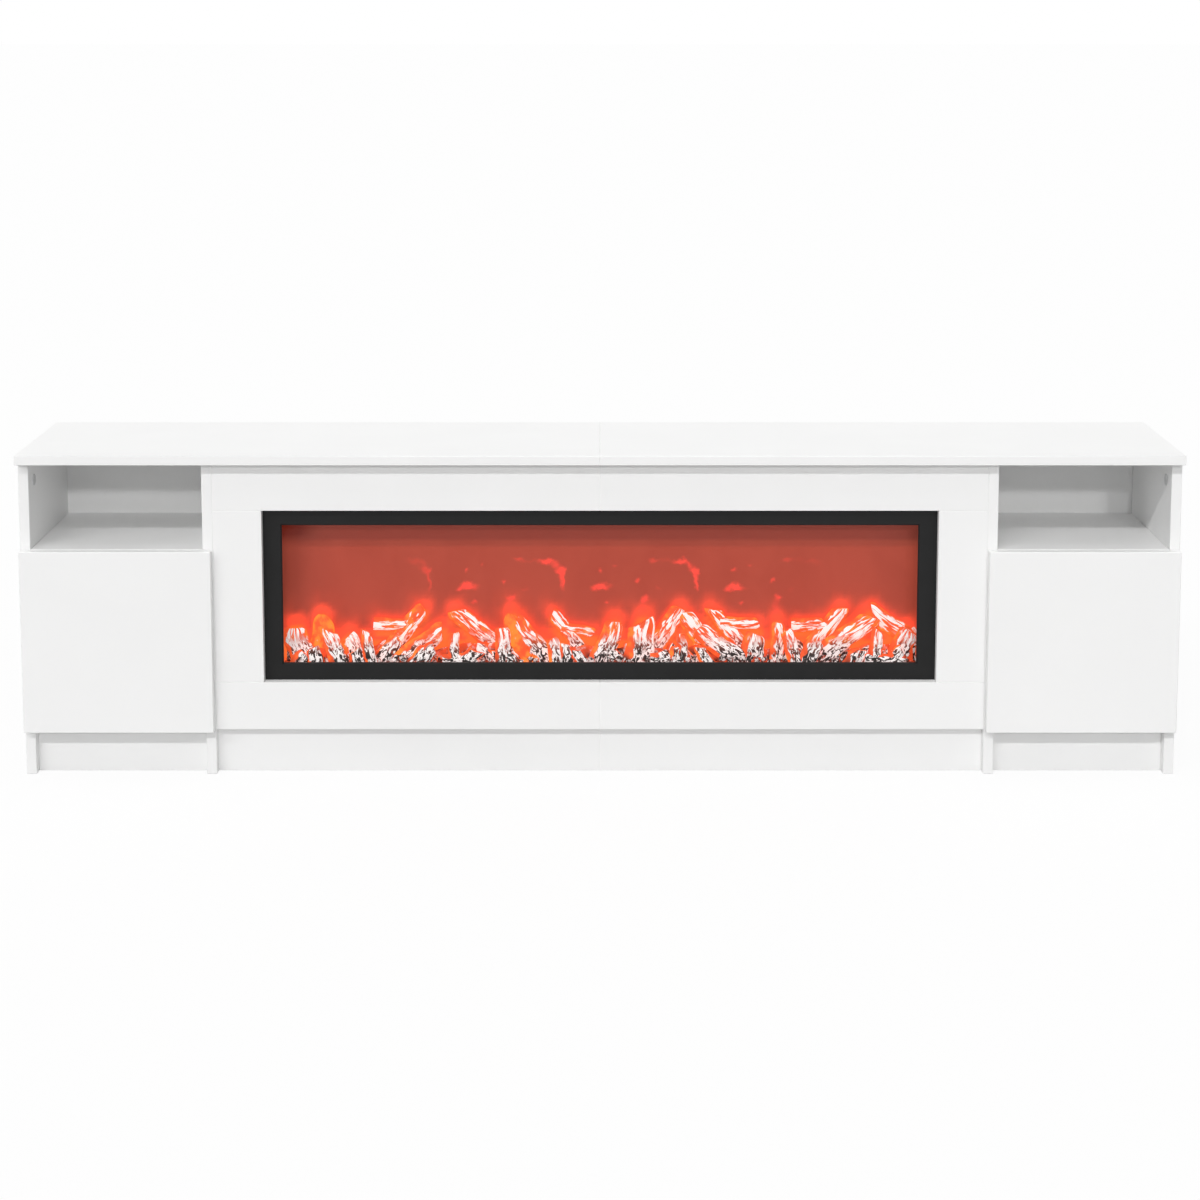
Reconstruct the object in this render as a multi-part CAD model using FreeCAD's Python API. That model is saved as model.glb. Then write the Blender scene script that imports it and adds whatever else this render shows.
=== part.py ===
# Low white media cabinet: a log-effect electric fire between two towers, each an open bay above a cupboard.
# Lengths are in millimetres. +Z is up, the front faces -Y, the origin is on the floor below the middle of the top.
import FreeCAD
import Part
import math
import os

from collections import namedtuple
from FreeCAD import Vector

# Cabinet
WIDTH = 1800.0
TOP_DEPTH = 300.0
HEIGHT = 512.0
TOP_T = 15.0
BOARD_T = 16.0
BACK_T = 3.0
TOP_OVERHANG = 24.0
TOWER_WIDTH = 299.0
PLINTH_HEIGHT = 72.0
PLINTH_RECESS = 18.0
SHELF_HEIGHT = 360.0
FASCIA_WIDTH = 76.0
REAR_RAIL_HEIGHT = 80.0
SUPPORT_DEPTH = 96.0
EDGE_EASE = 0.5
OVERRUN = 2.0

# Doors
DOOR_T = 15.0
DOOR_GAP = 4.0
DOOR_REVEAL = 1.5

# Cam locks, cam bolts and dowels
CAM_DIAMETER = 15.0
CAM_DEPTH = 12.5
CAM_REACH = 34.0
CAM_SETBACK = 37.0
CAM_SLOT_WIDTH = 2.4
CAM_SLOT_LENGTH = 10.0
CAM_SLOT_DEPTH = 2.5
BOLT_DIAMETER = 6.8
THREAD_DIAMETER = 4.8
THREAD_LENGTH = 11.0
DOWEL_DIAMETER = 7.8
DOWEL_LENGTH = 28.0
DOWEL_DEPTH = 10.0
BORE_CLEARANCE = 0.1

# Brackets and plates
BRACKET_LEG = 24.0
BRACKET_WIDTH = 18.0
BRACKET_T = 1.8
BRACKET_HOLE = 4.5
PLATE_LENGTH = 80.0
PLATE_WIDTH = 24.0
PLATE_T = 2.0

# Concealed hinges
CUP_DIAMETER = 35.0
CUP_DEPTH = 11.5
CUP_WALL = 0.8
CUP_EDGE = 3.0
FLANGE_T = 1.0
FLANGE_WIDTH = 18.0
FLANGE_LENGTH = 58.0
PIN_DIAMETER = 2.8
PIN_LENGTH = 18.0
PIN_EDGE = 7.0
PIN_INSET = 6.5
PIN_CLEARANCE = 0.05
PIN_SEAT_CLEARANCE = 0.02
KNUCKLE_DIAMETER = 4.8
NOSE_HEIGHT = 7.0
STRAP_T = 2.0
ARM_T = 2.2
ARM_HEIGHT = 12.0
ARM_TAIL = 18.0
ARM_BEND = 2.0
MOUNT_T = 2.0
MOUNT_WIDTH = 14.0
MOUNT_LENGTH = 48.0
SADDLE_T = 2.5
SADDLE_LENGTH = 46.0
HINGE_END = 56.0

# Push-to-open latches
LATCH_LENGTH = 50.0
LATCH_WIDTH = 15.0
LATCH_HEIGHT = 18.0
LATCH_SETBACK = 2.0
PLUNGER_DIAMETER = 8.0
PLUNGER_LENGTH = 36.0
PLUNGER_GAP = 0.5
PLUNGER_CLEARANCE = 0.06

# Firebox
SHEET_T = 1.2
FIREBOX_SIDE_LAP = 15.0
FIREBOX_TOP_LAP = 19.0
FIREBOX_DEPTH = 144.0
TRIM_T = 6.0
TRIM_SIDE = 29.0
TRIM_END = 26.5
TRIM_BEVEL = 2.0
GLASS_T = 4.0
GLASS_LAP = 10.0
CHAMBER_DEPTH = 55.0
SCREEN_T = 3.0
SCREEN_SLACK = 0.3
BED_HEIGHT = 79.0
BED_WALL = 2.5
BED_MARGIN = 4.0
BED_GAP = 2.0
ROW_GAP = 0.6
LOG_RISE = 80.0
LOG_GIRTH = 36.0
VENT_LENGTH = 70.0
VENT_HEIGHT = 5.0
VENT_PITCH = 12.0

# Flame works
ROTOR_HEIGHT = 62.0
ROTOR_SETBACK = 36.0
ROD_DIAMETER = 6.0
JOURNAL_DIAMETER = 4.0
JOURNAL_LENGTH = 8.0
JOURNAL_CLEARANCE = 0.05
VANE_LENGTH = 30.0
VANE_WIDTH = 30.0
VANE_T = 0.8
MOTOR_DIAMETER = 48.0
MOTOR_LENGTH = 20.0
MOTOR_PLATE_LENGTH = 66.0
MOTOR_PLATE_WIDTH = 16.0
MOTOR_PLATE_T = 2.0
BUSH_DIAMETER = 16.0
BUSH_LENGTH = 10.0
BUSH_FLANGE_DIAMETER = 26.0
BUSH_FLANGE_T = 2.0
LIGHT_BOARD_END_GAP = 30.0
LIGHT_BOARD_WIDTH = 16.0
LIGHT_BOARD_T = 1.6
LAMP_SIZE = 5.0
LAMP_HEIGHT = 1.6
CONTROL_LENGTH = 150.0
CONTROL_DEPTH = 24.0
CONTROL_HEIGHT = 58.0
CONTROL_EASE = 2.0

# Power inlet and its rocker
INLET_WIDTH = 54.0
INLET_HEIGHT = 30.0
INLET_FLANGE_T = 2.0
INLET_DEPTH = 18.0
INLET_LIP = 2.0
INLET_END_GAP = 140.0
INLET_RISE = 120.0
SOCKET_WIDTH = 22.0
SOCKET_HEIGHT = 12.0
SOCKET_DEPTH = 12.0
CONTACT_DIAMETER = 2.4
CONTACT_LENGTH = 9.0
CONTACT_PITCH = 8.6
POCKET_WIDTH = 13.0
POCKET_HEIGHT = 21.0
POCKET_DEPTH = 12.0
ROCKER_WIDTH = 12.2
ROCKER_LENGTH = 19.0
ROCKER_RISE = 3.4
ROCKER_DIP = 1.8
ROCKER_DROP = 4.0
ROCKER_PIN_DIAMETER = 2.4
ROCKER_PIN_LENGTH = 15.0
ROCKER_PIN_CLEARANCE = 0.05

# Angles and counts
ROCKER_TILT = 8.0
VANE_COUNT = 26
VANE_TURN = 47.0
LAMP_COUNT = 30
VENT_ROWS = 6
LOG_ROWS = 3
VENT_BANK_SHARES = (-0.62, -0.36, 0.36, 0.62)
TURN = 360.0

# Places along a board, as shares of its length
HALF_RAIL_SHARES = (0.25, 0.75)
STILE_BRACKET_SHARES = (0.2, 0.8)
PLINTH_BRACKET_SHARES = (0.3, 0.7)
DOWEL_SHARES = (0.12, 0.5, 0.88)
TOP_PLATE_SHARES = (0.25, 0.5)
SOCKET_PLACE_SHARE = -0.22
POCKET_PLACE_SHARE = 0.28

# Logs: foot and tip across the window, foot and tip above the bed, girth, each as a share.
BACK_LOG_SHARES = (
    (0.055, 0.055, 0.0, 0.92, 0.95),
    (0.150, 0.218, 0.0, 1.0, 0.80),
    (0.146, 0.192, 0.70, 0.66, 0.58),
    (0.358, 0.268, 0.0, 0.95, 0.90),
    (0.478, 0.424, 0.0, 0.90, 0.66),
    (0.446, 0.490, 0.60, 0.52, 0.48),
    (0.570, 0.628, 0.0, 1.0, 0.85),
    (0.690, 0.631, 0.0, 0.92, 0.90),
    (0.745, 0.678, 0.0, 0.98, 0.72),
    (0.700, 0.754, 0.72, 0.70, 0.56),
    (0.826, 0.886, 0.0, 1.0, 0.80),
    (0.814, 0.864, 0.68, 0.69, 0.62),
    (0.990, 0.992, 0.0, 0.55, 1.00),
    (1.000, 0.935, 0.34, 0.96, 0.92),
)
MIDDLE_LOG_SHARES = (
    (0.026, 0.013, 0.0, 0.66, 1.25),
    (0.109, 0.099, 0.0, 0.50, 0.92),
    (0.150, 0.178, 0.0, 0.46, 0.80),
    (0.180, 0.248, 0.0, 0.62, 0.98),
    (0.379, 0.358, 0.0, 0.94, 0.86),
    (0.413, 0.366, 0.0, 0.79, 0.98),
    (0.500, 0.525, 0.0, 0.78, 1.00),
    (0.560, 0.570, 0.0, 0.80, 1.30),
    (0.722, 0.658, 0.0, 0.66, 1.00),
    (0.740, 0.745, 0.0, 0.55, 1.10),
    (0.782, 0.784, 0.0, 0.77, 0.66),
    (0.850, 0.932, 0.0, 0.90, 1.05),
    (0.972, 0.990, 0.0, 0.62, 1.05),
)
FRONT_LOG_SHARES = (
    (0.088, 0.066, 0.0, 0.68, 0.86),
    (0.114, 0.113, 0.0, 0.28, 0.75),
    (0.138, 0.126, 0.0, 0.66, 0.54),
    (0.205, 0.224, 0.0, 0.30, 0.74),
    (0.267, 0.270, 0.0, 0.62, 0.54),
    (0.258, 0.304, 0.06, 0.09, 0.62),
    (0.347, 0.345, 0.0, 0.72, 0.80),
    (0.431, 0.424, 0.0, 0.50, 0.66),
    (0.447, 0.444, 0.0, 0.40, 0.66),
    (0.634, 0.627, 0.0, 0.60, 0.54),
    (0.588, 0.642, 0.07, 0.09, 0.62),
    (0.672, 0.656, 0.0, 0.32, 0.60),
    (0.812, 0.797, 0.0, 0.66, 0.68),
    (0.825, 0.848, 0.0, 0.56, 0.86),
    (0.899, 0.914, 0.0, 0.27, 0.80),
    (0.938, 0.941, 0.0, 0.68, 0.62),
    (0.928, 0.984, 0.08, 0.07, 0.62),
)
LOG_RING_SHARES = (1.0, 0.9, 0.98, 0.86, 1.0, 0.92, 0.88, 0.97)
LOG_TAPER_SHARES = (0.94, 1.0, 0.78)
LOG_WAIST_SHARE = 0.45

# Directions
UP = Vector(0, 0, 1)
DOWN = Vector(0, 0, -1)
FORWARD = Vector(0, -1, 0)
BACKWARD = Vector(0, 1, 0)
RIGHT = Vector(1, 0, 0)
ORIGIN = Vector(0, 0, 0)
SIDES = (("left", -1), ("right", 1))

# Places across the cabinet, measured from its middle
SIDE_OUTER = WIDTH / 2
SIDE_INNER = SIDE_OUTER - BOARD_T
DIVIDER_INNER = SIDE_OUTER - TOWER_WIDTH
DIVIDER_OUTER = DIVIDER_INNER + BOARD_T
STILE_INNER = DIVIDER_INNER - FASCIA_WIDTH
DOOR_OUTER = SIDE_OUTER - DOOR_REVEAL
DOOR_INNER = DIVIDER_INNER + DOOR_REVEAL
FIREBOX_HALF = STILE_INNER + FIREBOX_SIDE_LAP
CHAMBER_HALF = FIREBOX_HALF - SHEET_T
WINDOW_HALF = STILE_INNER - TRIM_SIDE
BED_HALF = WINDOW_HALF + BED_MARGIN
LIGHT_BOARD_HALF = BED_HALF - LIGHT_BOARD_END_GAP
INLET_X = FIREBOX_HALF - INLET_END_GAP

# Places from front to back
TOP_FRONT = -TOP_DEPTH / 2
TOP_BACK = TOP_DEPTH / 2
CARCASS_FRONT = TOP_FRONT + TOP_OVERHANG
CARCASS_BACK = TOP_BACK - BACK_T
FASCIA_BACK = CARCASS_FRONT + BOARD_T
PLINTH_FRONT = CARCASS_FRONT + PLINTH_RECESS
PLINTH_BACK = PLINTH_FRONT + BOARD_T
DOOR_BACK = CARCASS_FRONT - DOOR_GAP
DOOR_FRONT = DOOR_BACK - DOOR_T
CAM_FRONT = CARCASS_FRONT + CAM_SETBACK
CAM_REAR = CARCASS_BACK - CAM_SETBACK
TRIM_BACK = FASCIA_BACK + TRIM_T
GLASS_BACK = TRIM_BACK + GLASS_T
SCREEN_FRONT = GLASS_BACK + CHAMBER_DEPTH
SCREEN_BACK = SCREEN_FRONT + SCREEN_T
FIREBOX_BACK = TRIM_BACK + FIREBOX_DEPTH
BED_FRONT = GLASS_BACK + BED_GAP
BED_BACK = SCREEN_FRONT - BED_GAP
ROTOR_DEPTH = SCREEN_BACK + ROTOR_SETBACK

# Places above the floor
TOP_UNDERSIDE = HEIGHT - TOP_T
DECK_TOP = PLINTH_HEIGHT + BOARD_T
DOOR_BOTTOM = PLINTH_HEIGHT
OPENING_BOTTOM = PLINTH_HEIGHT + FASCIA_WIDTH
OPENING_TOP = TOP_UNDERSIDE - FASCIA_WIDTH
FIREBOX_TOP = OPENING_TOP + FIREBOX_TOP_LAP
CHAMBER_FLOOR = DECK_TOP + SHEET_T
CHAMBER_TOP = FIREBOX_TOP - SHEET_T
WINDOW_BOTTOM = OPENING_BOTTOM + TRIM_END
WINDOW_TOP = OPENING_TOP - TRIM_END
BED_TOP = CHAMBER_FLOOR + BED_HEIGHT
ROTOR_LEVEL = CHAMBER_FLOOR + ROTOR_HEIGHT
LATCH_LEVEL = (DOOR_BOTTOM + SHELF_HEIGHT) / 2
INLET_LEVEL = CHAMBER_FLOOR + INLET_RISE

# Hinge places on the left tower
PIN_X = -(DOOR_OUTER - PIN_EDGE)
PIN_Y = DOOR_BACK - PIN_INSET
CUP_X = -(DOOR_OUTER - CUP_EDGE - CUP_DIAMETER / 2)
ARM_OUTER = -SIDE_INNER + MOUNT_T + SADDLE_T
ARM_INNER = ARM_OUTER + ARM_T
STRAP_FRONT = PIN_Y - KNUCKLE_DIAMETER / 2
STRAP_BACK = STRAP_FRONT + STRAP_T
HINGE_LEVELS = (DOOR_BOTTOM + HINGE_END, SHELF_HEIGHT - HINGE_END)
PLUNGER_X = -(DIVIDER_OUTER + LATCH_WIDTH / 2)
PLUNGER_TIP = DOOR_BACK + PLUNGER_GAP

# One cam lock: the board it is sunk in, the board it pulls, its mouth, the bolt's way and the bore's way.
CamJoint = namedtuple("CamJoint", "cam_board face_board mouth bolt_way bore_way")
# One dowel: the two boards, the point on their shared face, and the way into the second board.
DowelJoint = namedtuple("DowelJoint", "first second point way")


def block(x_span, y_span, z_span):
    """Plain block between three pairs of places."""
    size = (x_span[1] - x_span[0], y_span[1] - y_span[0], z_span[1] - z_span[0])
    return Part.makeBox(*size, Vector(x_span[0], y_span[0], z_span[0]))


def board(x_span, y_span, z_span):
    """Panel with eased edges."""
    panel = block(x_span, y_span, z_span)
    return panel.makeChamfer(EDGE_EASE, panel.Edges)


def across(sign, near, far):
    """Span between two distances from the middle, on one side of the cabinet."""
    return tuple(sorted((sign * near, sign * far)))


def around(middle, size):
    """Span of a size around a place."""
    return (middle - size / 2, middle + size / 2)


def between(start, end, share):
    """Place at a share of the way from start to end."""
    return start + (end - start) * share


def rod(start, way, length, diameter):
    """Round bar from a point along a direction."""
    return Part.makeCylinder(diameter / 2, length, start, way)


def prism(corners, way, length):
    """Solid swept straight from a flat outline."""
    outline = Part.makePolygon([*corners, corners[0]])
    return Part.Face(outline).extrude(way * length)


def mirrored(shape):
    """The same piece on the other side of the cabinet."""
    return shape.mirror(ORIGIN, RIGHT)


def upright_edges(shape, places):
    """Edges parallel to Z that stand on the given plan places."""
    found = []
    for edge in shape.Edges:
        ends = [vertex.Point for vertex in edge.Vertexes]
        for x, y in places:
            if all(math.isclose(p.x, x) and math.isclose(p.y, y) for p in ends):
                found.append(edge)
    return found


def tower_boards(name, sign):
    """Boards of one tower: sides, shelf, floor, plinth and back."""
    upright = (CARCASS_FRONT, CARCASS_BACK)
    inside = across(sign, DIVIDER_OUTER, SIDE_INNER)
    plinth = (PLINTH_FRONT, PLINTH_BACK)
    back = (CARCASS_BACK, TOP_BACK)
    return {
        f"side_panel_{name}": board(across(sign, SIDE_INNER, SIDE_OUTER), upright, (0, TOP_UNDERSIDE)),
        f"divider_{name}": board(across(sign, DIVIDER_INNER, DIVIDER_OUTER), upright, (0, TOP_UNDERSIDE)),
        f"shelf_{name}": board(inside, upright, (SHELF_HEIGHT - BOARD_T, SHELF_HEIGHT)),
        f"cupboard_floor_{name}": board(inside, upright, (PLINTH_HEIGHT, DECK_TOP)),
        f"plinth_{name}": board(inside, plinth, (0, PLINTH_HEIGHT)),
        f"back_panel_{name}": block(across(sign, DIVIDER_INNER, SIDE_OUTER), back, (PLINTH_HEIGHT, TOP_UNDERSIDE)),
    }


def middle_boards(name, sign):
    """Boards of one half of the middle: top, deck, plinth, fascia and rear rail."""
    half = across(sign, 0, DIVIDER_INNER)
    fascia = (CARCASS_FRONT, FASCIA_BACK)
    rear = across(sign, BOARD_T / 2, DIVIDER_INNER)
    rear_span = (CARCASS_BACK - BOARD_T, CARCASS_BACK)
    stile = across(sign, STILE_INNER, DIVIDER_INNER)
    return {
        f"top_panel_{name}": board(across(sign, 0, SIDE_OUTER), (TOP_FRONT, TOP_BACK), (TOP_UNDERSIDE, HEIGHT)),
        f"hearth_deck_{name}": board(half, (FASCIA_BACK, CARCASS_BACK), (PLINTH_HEIGHT, DECK_TOP)),
        f"centre_plinth_{name}": board(half, (PLINTH_FRONT, PLINTH_BACK), (0, PLINTH_HEIGHT)),
        f"fascia_top_rail_{name}": board(half, fascia, (OPENING_TOP, TOP_UNDERSIDE)),
        f"fascia_bottom_rail_{name}": board(half, fascia, (PLINTH_HEIGHT, OPENING_BOTTOM)),
        f"fascia_stile_{name}": board(stile, fascia, (OPENING_BOTTOM, OPENING_TOP)),
        f"rear_rail_{name}": board(rear, rear_span, (TOP_UNDERSIDE - REAR_RAIL_HEIGHT, TOP_UNDERSIDE)),
    }


def centre_boards():
    """The upright under the joint of the top and the foot under the joint of the deck."""
    middle = around(0, BOARD_T)
    return {
        "centre_support": board(middle, (CARCASS_BACK - SUPPORT_DEPTH, CARCASS_BACK), (DECK_TOP, TOP_UNDERSIDE)),
        "centre_foot": board(middle, (PLINTH_BACK, CARCASS_BACK), (0, PLINTH_HEIGHT)),
    }


def cam_joints():
    """Every cam lock of the cabinet."""
    joints = []
    high = TOP_UNDERSIDE - CAM_REACH
    for name, sign in SIDES:
        outward = RIGHT * sign
        inward = RIGHT * -sign
        side = f"side_panel_{name}"
        divider = f"divider_{name}"
        top = f"top_panel_{name}"
        deck = f"hearth_deck_{name}"
        floors = ((f"shelf_{name}", SHELF_HEIGHT - BOARD_T), (f"cupboard_floor_{name}", PLINTH_HEIGHT))
        for y in (CAM_FRONT, CAM_REAR):
            joints.append(CamJoint(side, top, Vector(sign * SIDE_INNER, y, high), UP, outward))
            joints.append(CamJoint(divider, top, Vector(sign * DIVIDER_INNER, y, high), UP, outward))
            for panel, underside in floors:
                near = Vector(sign * (DIVIDER_OUTER + CAM_REACH), y, underside)
                far = Vector(sign * (SIDE_INNER - CAM_REACH), y, underside)
                joints.append(CamJoint(panel, divider, near, inward, UP))
                joints.append(CamJoint(panel, side, far, outward, UP))
        for y in (FASCIA_BACK + CAM_SETBACK, CAM_REAR - CAM_SETBACK):
            mouth = Vector(sign * (DIVIDER_INNER - CAM_REACH), y, PLINTH_HEIGHT)
            joints.append(CamJoint(deck, divider, mouth, outward, UP))
    return joints


def bolt_start(joint):
    """Point on the cam's axis where the bolt's head lies."""
    return joint.mouth + joint.bore_way * (BOARD_T / 2)


def cam_lock(joint):
    """Cam with a screwdriver slot and a mouth for the bolt's head."""
    cam = rod(joint.mouth, joint.bore_way, CAM_DEPTH - BORE_CLEARANCE, CAM_DIAMETER - BORE_CLEARANCE * 2)
    cam = cam.cut(rod(bolt_start(joint), joint.bolt_way, CAM_DIAMETER, BOLT_DIAMETER + BORE_CLEARANCE * 2))
    side_way = joint.bolt_way.cross(joint.bore_way)
    corner = joint.mouth - side_way * (CAM_SLOT_LENGTH / 2) - joint.bolt_way * (CAM_SLOT_WIDTH / 2)
    ends = [corner, corner + side_way * CAM_SLOT_LENGTH]
    ends.append(ends[1] + joint.bolt_way * CAM_SLOT_WIDTH)
    ends.append(corner + joint.bolt_way * CAM_SLOT_WIDTH)
    return cam.cut(prism(ends, joint.bore_way, CAM_SLOT_DEPTH))


def cam_bolt(joint):
    """Bolt: a shank in the first board's edge and a threaded end in the second board's face."""
    start = bolt_start(joint)
    shank = rod(start, joint.bolt_way, CAM_REACH, BOLT_DIAMETER)
    thread = rod(start + joint.bolt_way * CAM_REACH, joint.bolt_way, THREAD_LENGTH, THREAD_DIAMETER)
    return shank.fuse(thread).removeSplitter()


def bore_for_cams(boards, joints):
    """Cut the bores that each cam lock needs in its two boards."""
    for joint in joints:
        start = bolt_start(joint)
        pocket = rod(joint.mouth - joint.bore_way * OVERRUN, joint.bore_way, CAM_DEPTH + OVERRUN, CAM_DIAMETER)
        shank = rod(start, joint.bolt_way, CAM_REACH + OVERRUN, BOLT_DIAMETER + BORE_CLEARANCE * 2)
        mouth = start + joint.bolt_way * (CAM_REACH - OVERRUN)
        length = OVERRUN + THREAD_LENGTH + BORE_CLEARANCE
        thread = rod(mouth, joint.bolt_way, length, THREAD_DIAMETER + BORE_CLEARANCE * 2)
        boards[joint.cam_board] = boards[joint.cam_board].cut([pocket, shank])
        boards[joint.face_board] = boards[joint.face_board].cut(thread)


def dowel_joints():
    """Dowels from the fascia into the deck's edge, and from the stiles into the rails."""
    joints = []
    for name, sign in SIDES:
        bottom = f"fascia_bottom_rail_{name}"
        top = f"fascia_top_rail_{name}"
        stile = f"fascia_stile_{name}"
        for share in DOWEL_SHARES:
            point = Vector(between(0, sign * DIVIDER_INNER, share), FASCIA_BACK, between(PLINTH_HEIGHT, DECK_TOP, 0.5))
            joints.append(DowelJoint(bottom, f"hearth_deck_{name}", point, BACKWARD))
        x = sign * (STILE_INNER + DIVIDER_INNER) / 2
        y = (CARCASS_FRONT + FASCIA_BACK) / 2
        joints.append(DowelJoint(bottom, stile, Vector(x, y, OPENING_BOTTOM), UP))
        joints.append(DowelJoint(top, stile, Vector(x, y, OPENING_TOP), DOWN))
    return joints


def dowel(joint):
    """Round wooden dowel across a joint."""
    return rod(joint.point - joint.way * DOWEL_DEPTH, joint.way, DOWEL_LENGTH, DOWEL_DIAMETER)


def bore_for_dowels(boards, joints):
    """Cut each dowel's two bores."""
    for joint in joints:
        start = joint.point - joint.way * (DOWEL_DEPTH + BORE_CLEARANCE)
        bore = rod(start, joint.way, DOWEL_LENGTH + BORE_CLEARANCE * 2, DOWEL_DIAMETER + BORE_CLEARANCE * 2)
        boards[joint.first] = boards[joint.first].cut(bore)
        boards[joint.second] = boards[joint.second].cut(bore)


def bracket(corner, first_way, second_way):
    """Bent steel angle in a corner between two boards, with a screw hole in each leg."""
    width_way = first_way.cross(second_way)
    start = corner - width_way * (BRACKET_WIDTH / 2)
    places = ((0, 0), (BRACKET_LEG, 0), (BRACKET_LEG, BRACKET_T), (BRACKET_T, BRACKET_T), (BRACKET_T, BRACKET_LEG))
    outline = [start + first_way * a + second_way * b for a, b in (*places, (0, BRACKET_LEG))]
    angle = prism(outline, width_way, BRACKET_WIDTH)
    for leg, normal in ((first_way, second_way), (second_way, first_way)):
        centre = corner + leg * ((BRACKET_LEG + BRACKET_T) / 2) - normal * OVERRUN
        angle = angle.cut(rod(centre, normal, BRACKET_T + OVERRUN * 2, BRACKET_HOLE))
    return angle


def corner_brackets():
    """Angles that hold the fascia, the plinths and the rear rails."""
    angles = []
    for _, sign in SIDES:
        for share in HALF_RAIL_SHARES:
            x = between(0, sign * DIVIDER_INNER, share)
            angles.append(bracket(Vector(x, FASCIA_BACK, TOP_UNDERSIDE), DOWN, BACKWARD))
            angles.append(bracket(Vector(x, PLINTH_BACK, PLINTH_HEIGHT), DOWN, BACKWARD))
            angles.append(bracket(Vector(x, CARCASS_BACK - BOARD_T, TOP_UNDERSIDE), DOWN, FORWARD))
        for share in STILE_BRACKET_SHARES:
            z = between(OPENING_BOTTOM, OPENING_TOP, share)
            angles.append(bracket(Vector(sign * DIVIDER_INNER, FASCIA_BACK, z), RIGHT * -sign, BACKWARD))
        for share in PLINTH_BRACKET_SHARES:
            x = between(sign * DIVIDER_OUTER, sign * SIDE_INNER, share)
            angles.append(bracket(Vector(x, PLINTH_BACK, PLINTH_HEIGHT), DOWN, BACKWARD))
    return Part.makeCompound(angles)


def joining_plates():
    """Flat plates across the middle joints of the top and of the fascia's top rail."""
    plates = []
    for share in TOP_PLATE_SHARES:
        y = between(FASCIA_BACK, CARCASS_BACK, share)
        plates.append(block(around(0, PLATE_LENGTH), around(y, PLATE_WIDTH), (TOP_UNDERSIDE - PLATE_T, TOP_UNDERSIDE)))
    level = between(FIREBOX_TOP, TOP_UNDERSIDE, 0.5)
    plates.append(block(around(0, PLATE_LENGTH), (FASCIA_BACK, FASCIA_BACK + PLATE_T), around(level, PLATE_WIDTH)))
    return Part.makeCompound(plates)


def hinge_plate(level):
    """Mounting plate on the left side panel: two wings and a saddle for the arm."""
    face = -SIDE_INNER
    wings = block((face, face + MOUNT_T), around(CAM_FRONT, MOUNT_WIDTH), around(level, MOUNT_LENGTH))
    saddle_front = CAM_FRONT + ARM_TAIL - SADDLE_LENGTH
    saddle = block((face, ARM_OUTER), (saddle_front, CAM_FRONT + ARM_TAIL), around(level, ARM_HEIGHT))
    return wings.fuse(saddle).removeSplitter()


def hinge_arm(level):
    """Cranked arm: a knuckle on the pin, a strap along the cup's floor and a leg back to the plate."""
    tail = CAM_FRONT + ARM_TAIL
    low = level - NOSE_HEIGHT / 2
    places = ((PIN_X, STRAP_FRONT), (ARM_INNER, STRAP_FRONT), (ARM_INNER, tail))
    places += ((ARM_OUTER, tail), (ARM_OUTER, STRAP_BACK), (PIN_X, STRAP_BACK))
    nose = prism([Vector(x, y, low) for x, y in places], UP, NOSE_HEIGHT)
    nose = nose.makeFillet(ARM_BEND, upright_edges(nose, (places[1],)))
    leg = block((ARM_OUTER, ARM_INNER), (CARCASS_FRONT, tail), around(level, ARM_HEIGHT))
    knuckle = rod(Vector(PIN_X, PIN_Y, low), UP, NOSE_HEIGHT, KNUCKLE_DIAMETER)
    arm = nose.fuse([leg, knuckle]).removeSplitter()
    bore = rod(Vector(PIN_X, PIN_Y, low - OVERRUN), UP, NOSE_HEIGHT + OVERRUN * 2, PIN_DIAMETER + PIN_CLEARANCE * 2)
    return arm.cut(bore)


def hinge_pin(level):
    """Pin across the cup."""
    return rod(Vector(PIN_X, PIN_Y, level - PIN_LENGTH / 2), UP, PIN_LENGTH, PIN_DIAMETER)


def hinge_cup(level):
    """Pressed cup let into the door's rear face, with a flange and seats for the pin."""
    mouth = Vector(CUP_X, DOOR_BACK + FLANGE_T, level)
    shell = rod(mouth, FORWARD, CUP_DEPTH + FLANGE_T, CUP_DIAMETER)
    flange = block(around(CUP_X, FLANGE_WIDTH), (DOOR_BACK, DOOR_BACK + FLANGE_T), around(level, FLANGE_LENGTH))
    rim = mouth + BACKWARD * OVERRUN
    hollow = rod(rim, FORWARD, CUP_DEPTH + FLANGE_T - CUP_WALL + OVERRUN, CUP_DIAMETER - CUP_WALL * 2)
    seat_start = Vector(PIN_X, PIN_Y, level - PIN_LENGTH / 2 - PIN_SEAT_CLEARANCE)
    seat = rod(seat_start, UP, PIN_LENGTH + PIN_SEAT_CLEARANCE * 2, PIN_DIAMETER + PIN_SEAT_CLEARANCE * 2)
    return shell.fuse(flange).removeSplitter().cut([hollow, seat])


def door():
    """Left door with its cup bores."""
    panel = board((-DOOR_OUTER, -DOOR_INNER), (DOOR_FRONT, DOOR_BACK), (DOOR_BOTTOM, SHELF_HEIGHT))
    bores = []
    for level in HINGE_LEVELS:
        mouth = Vector(CUP_X, DOOR_BACK + OVERRUN, level)
        bores.append(rod(mouth, FORWARD, CUP_DEPTH + BORE_CLEARANCE + OVERRUN, CUP_DIAMETER + BORE_CLEARANCE * 2))
    return panel.cut(bores)


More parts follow.
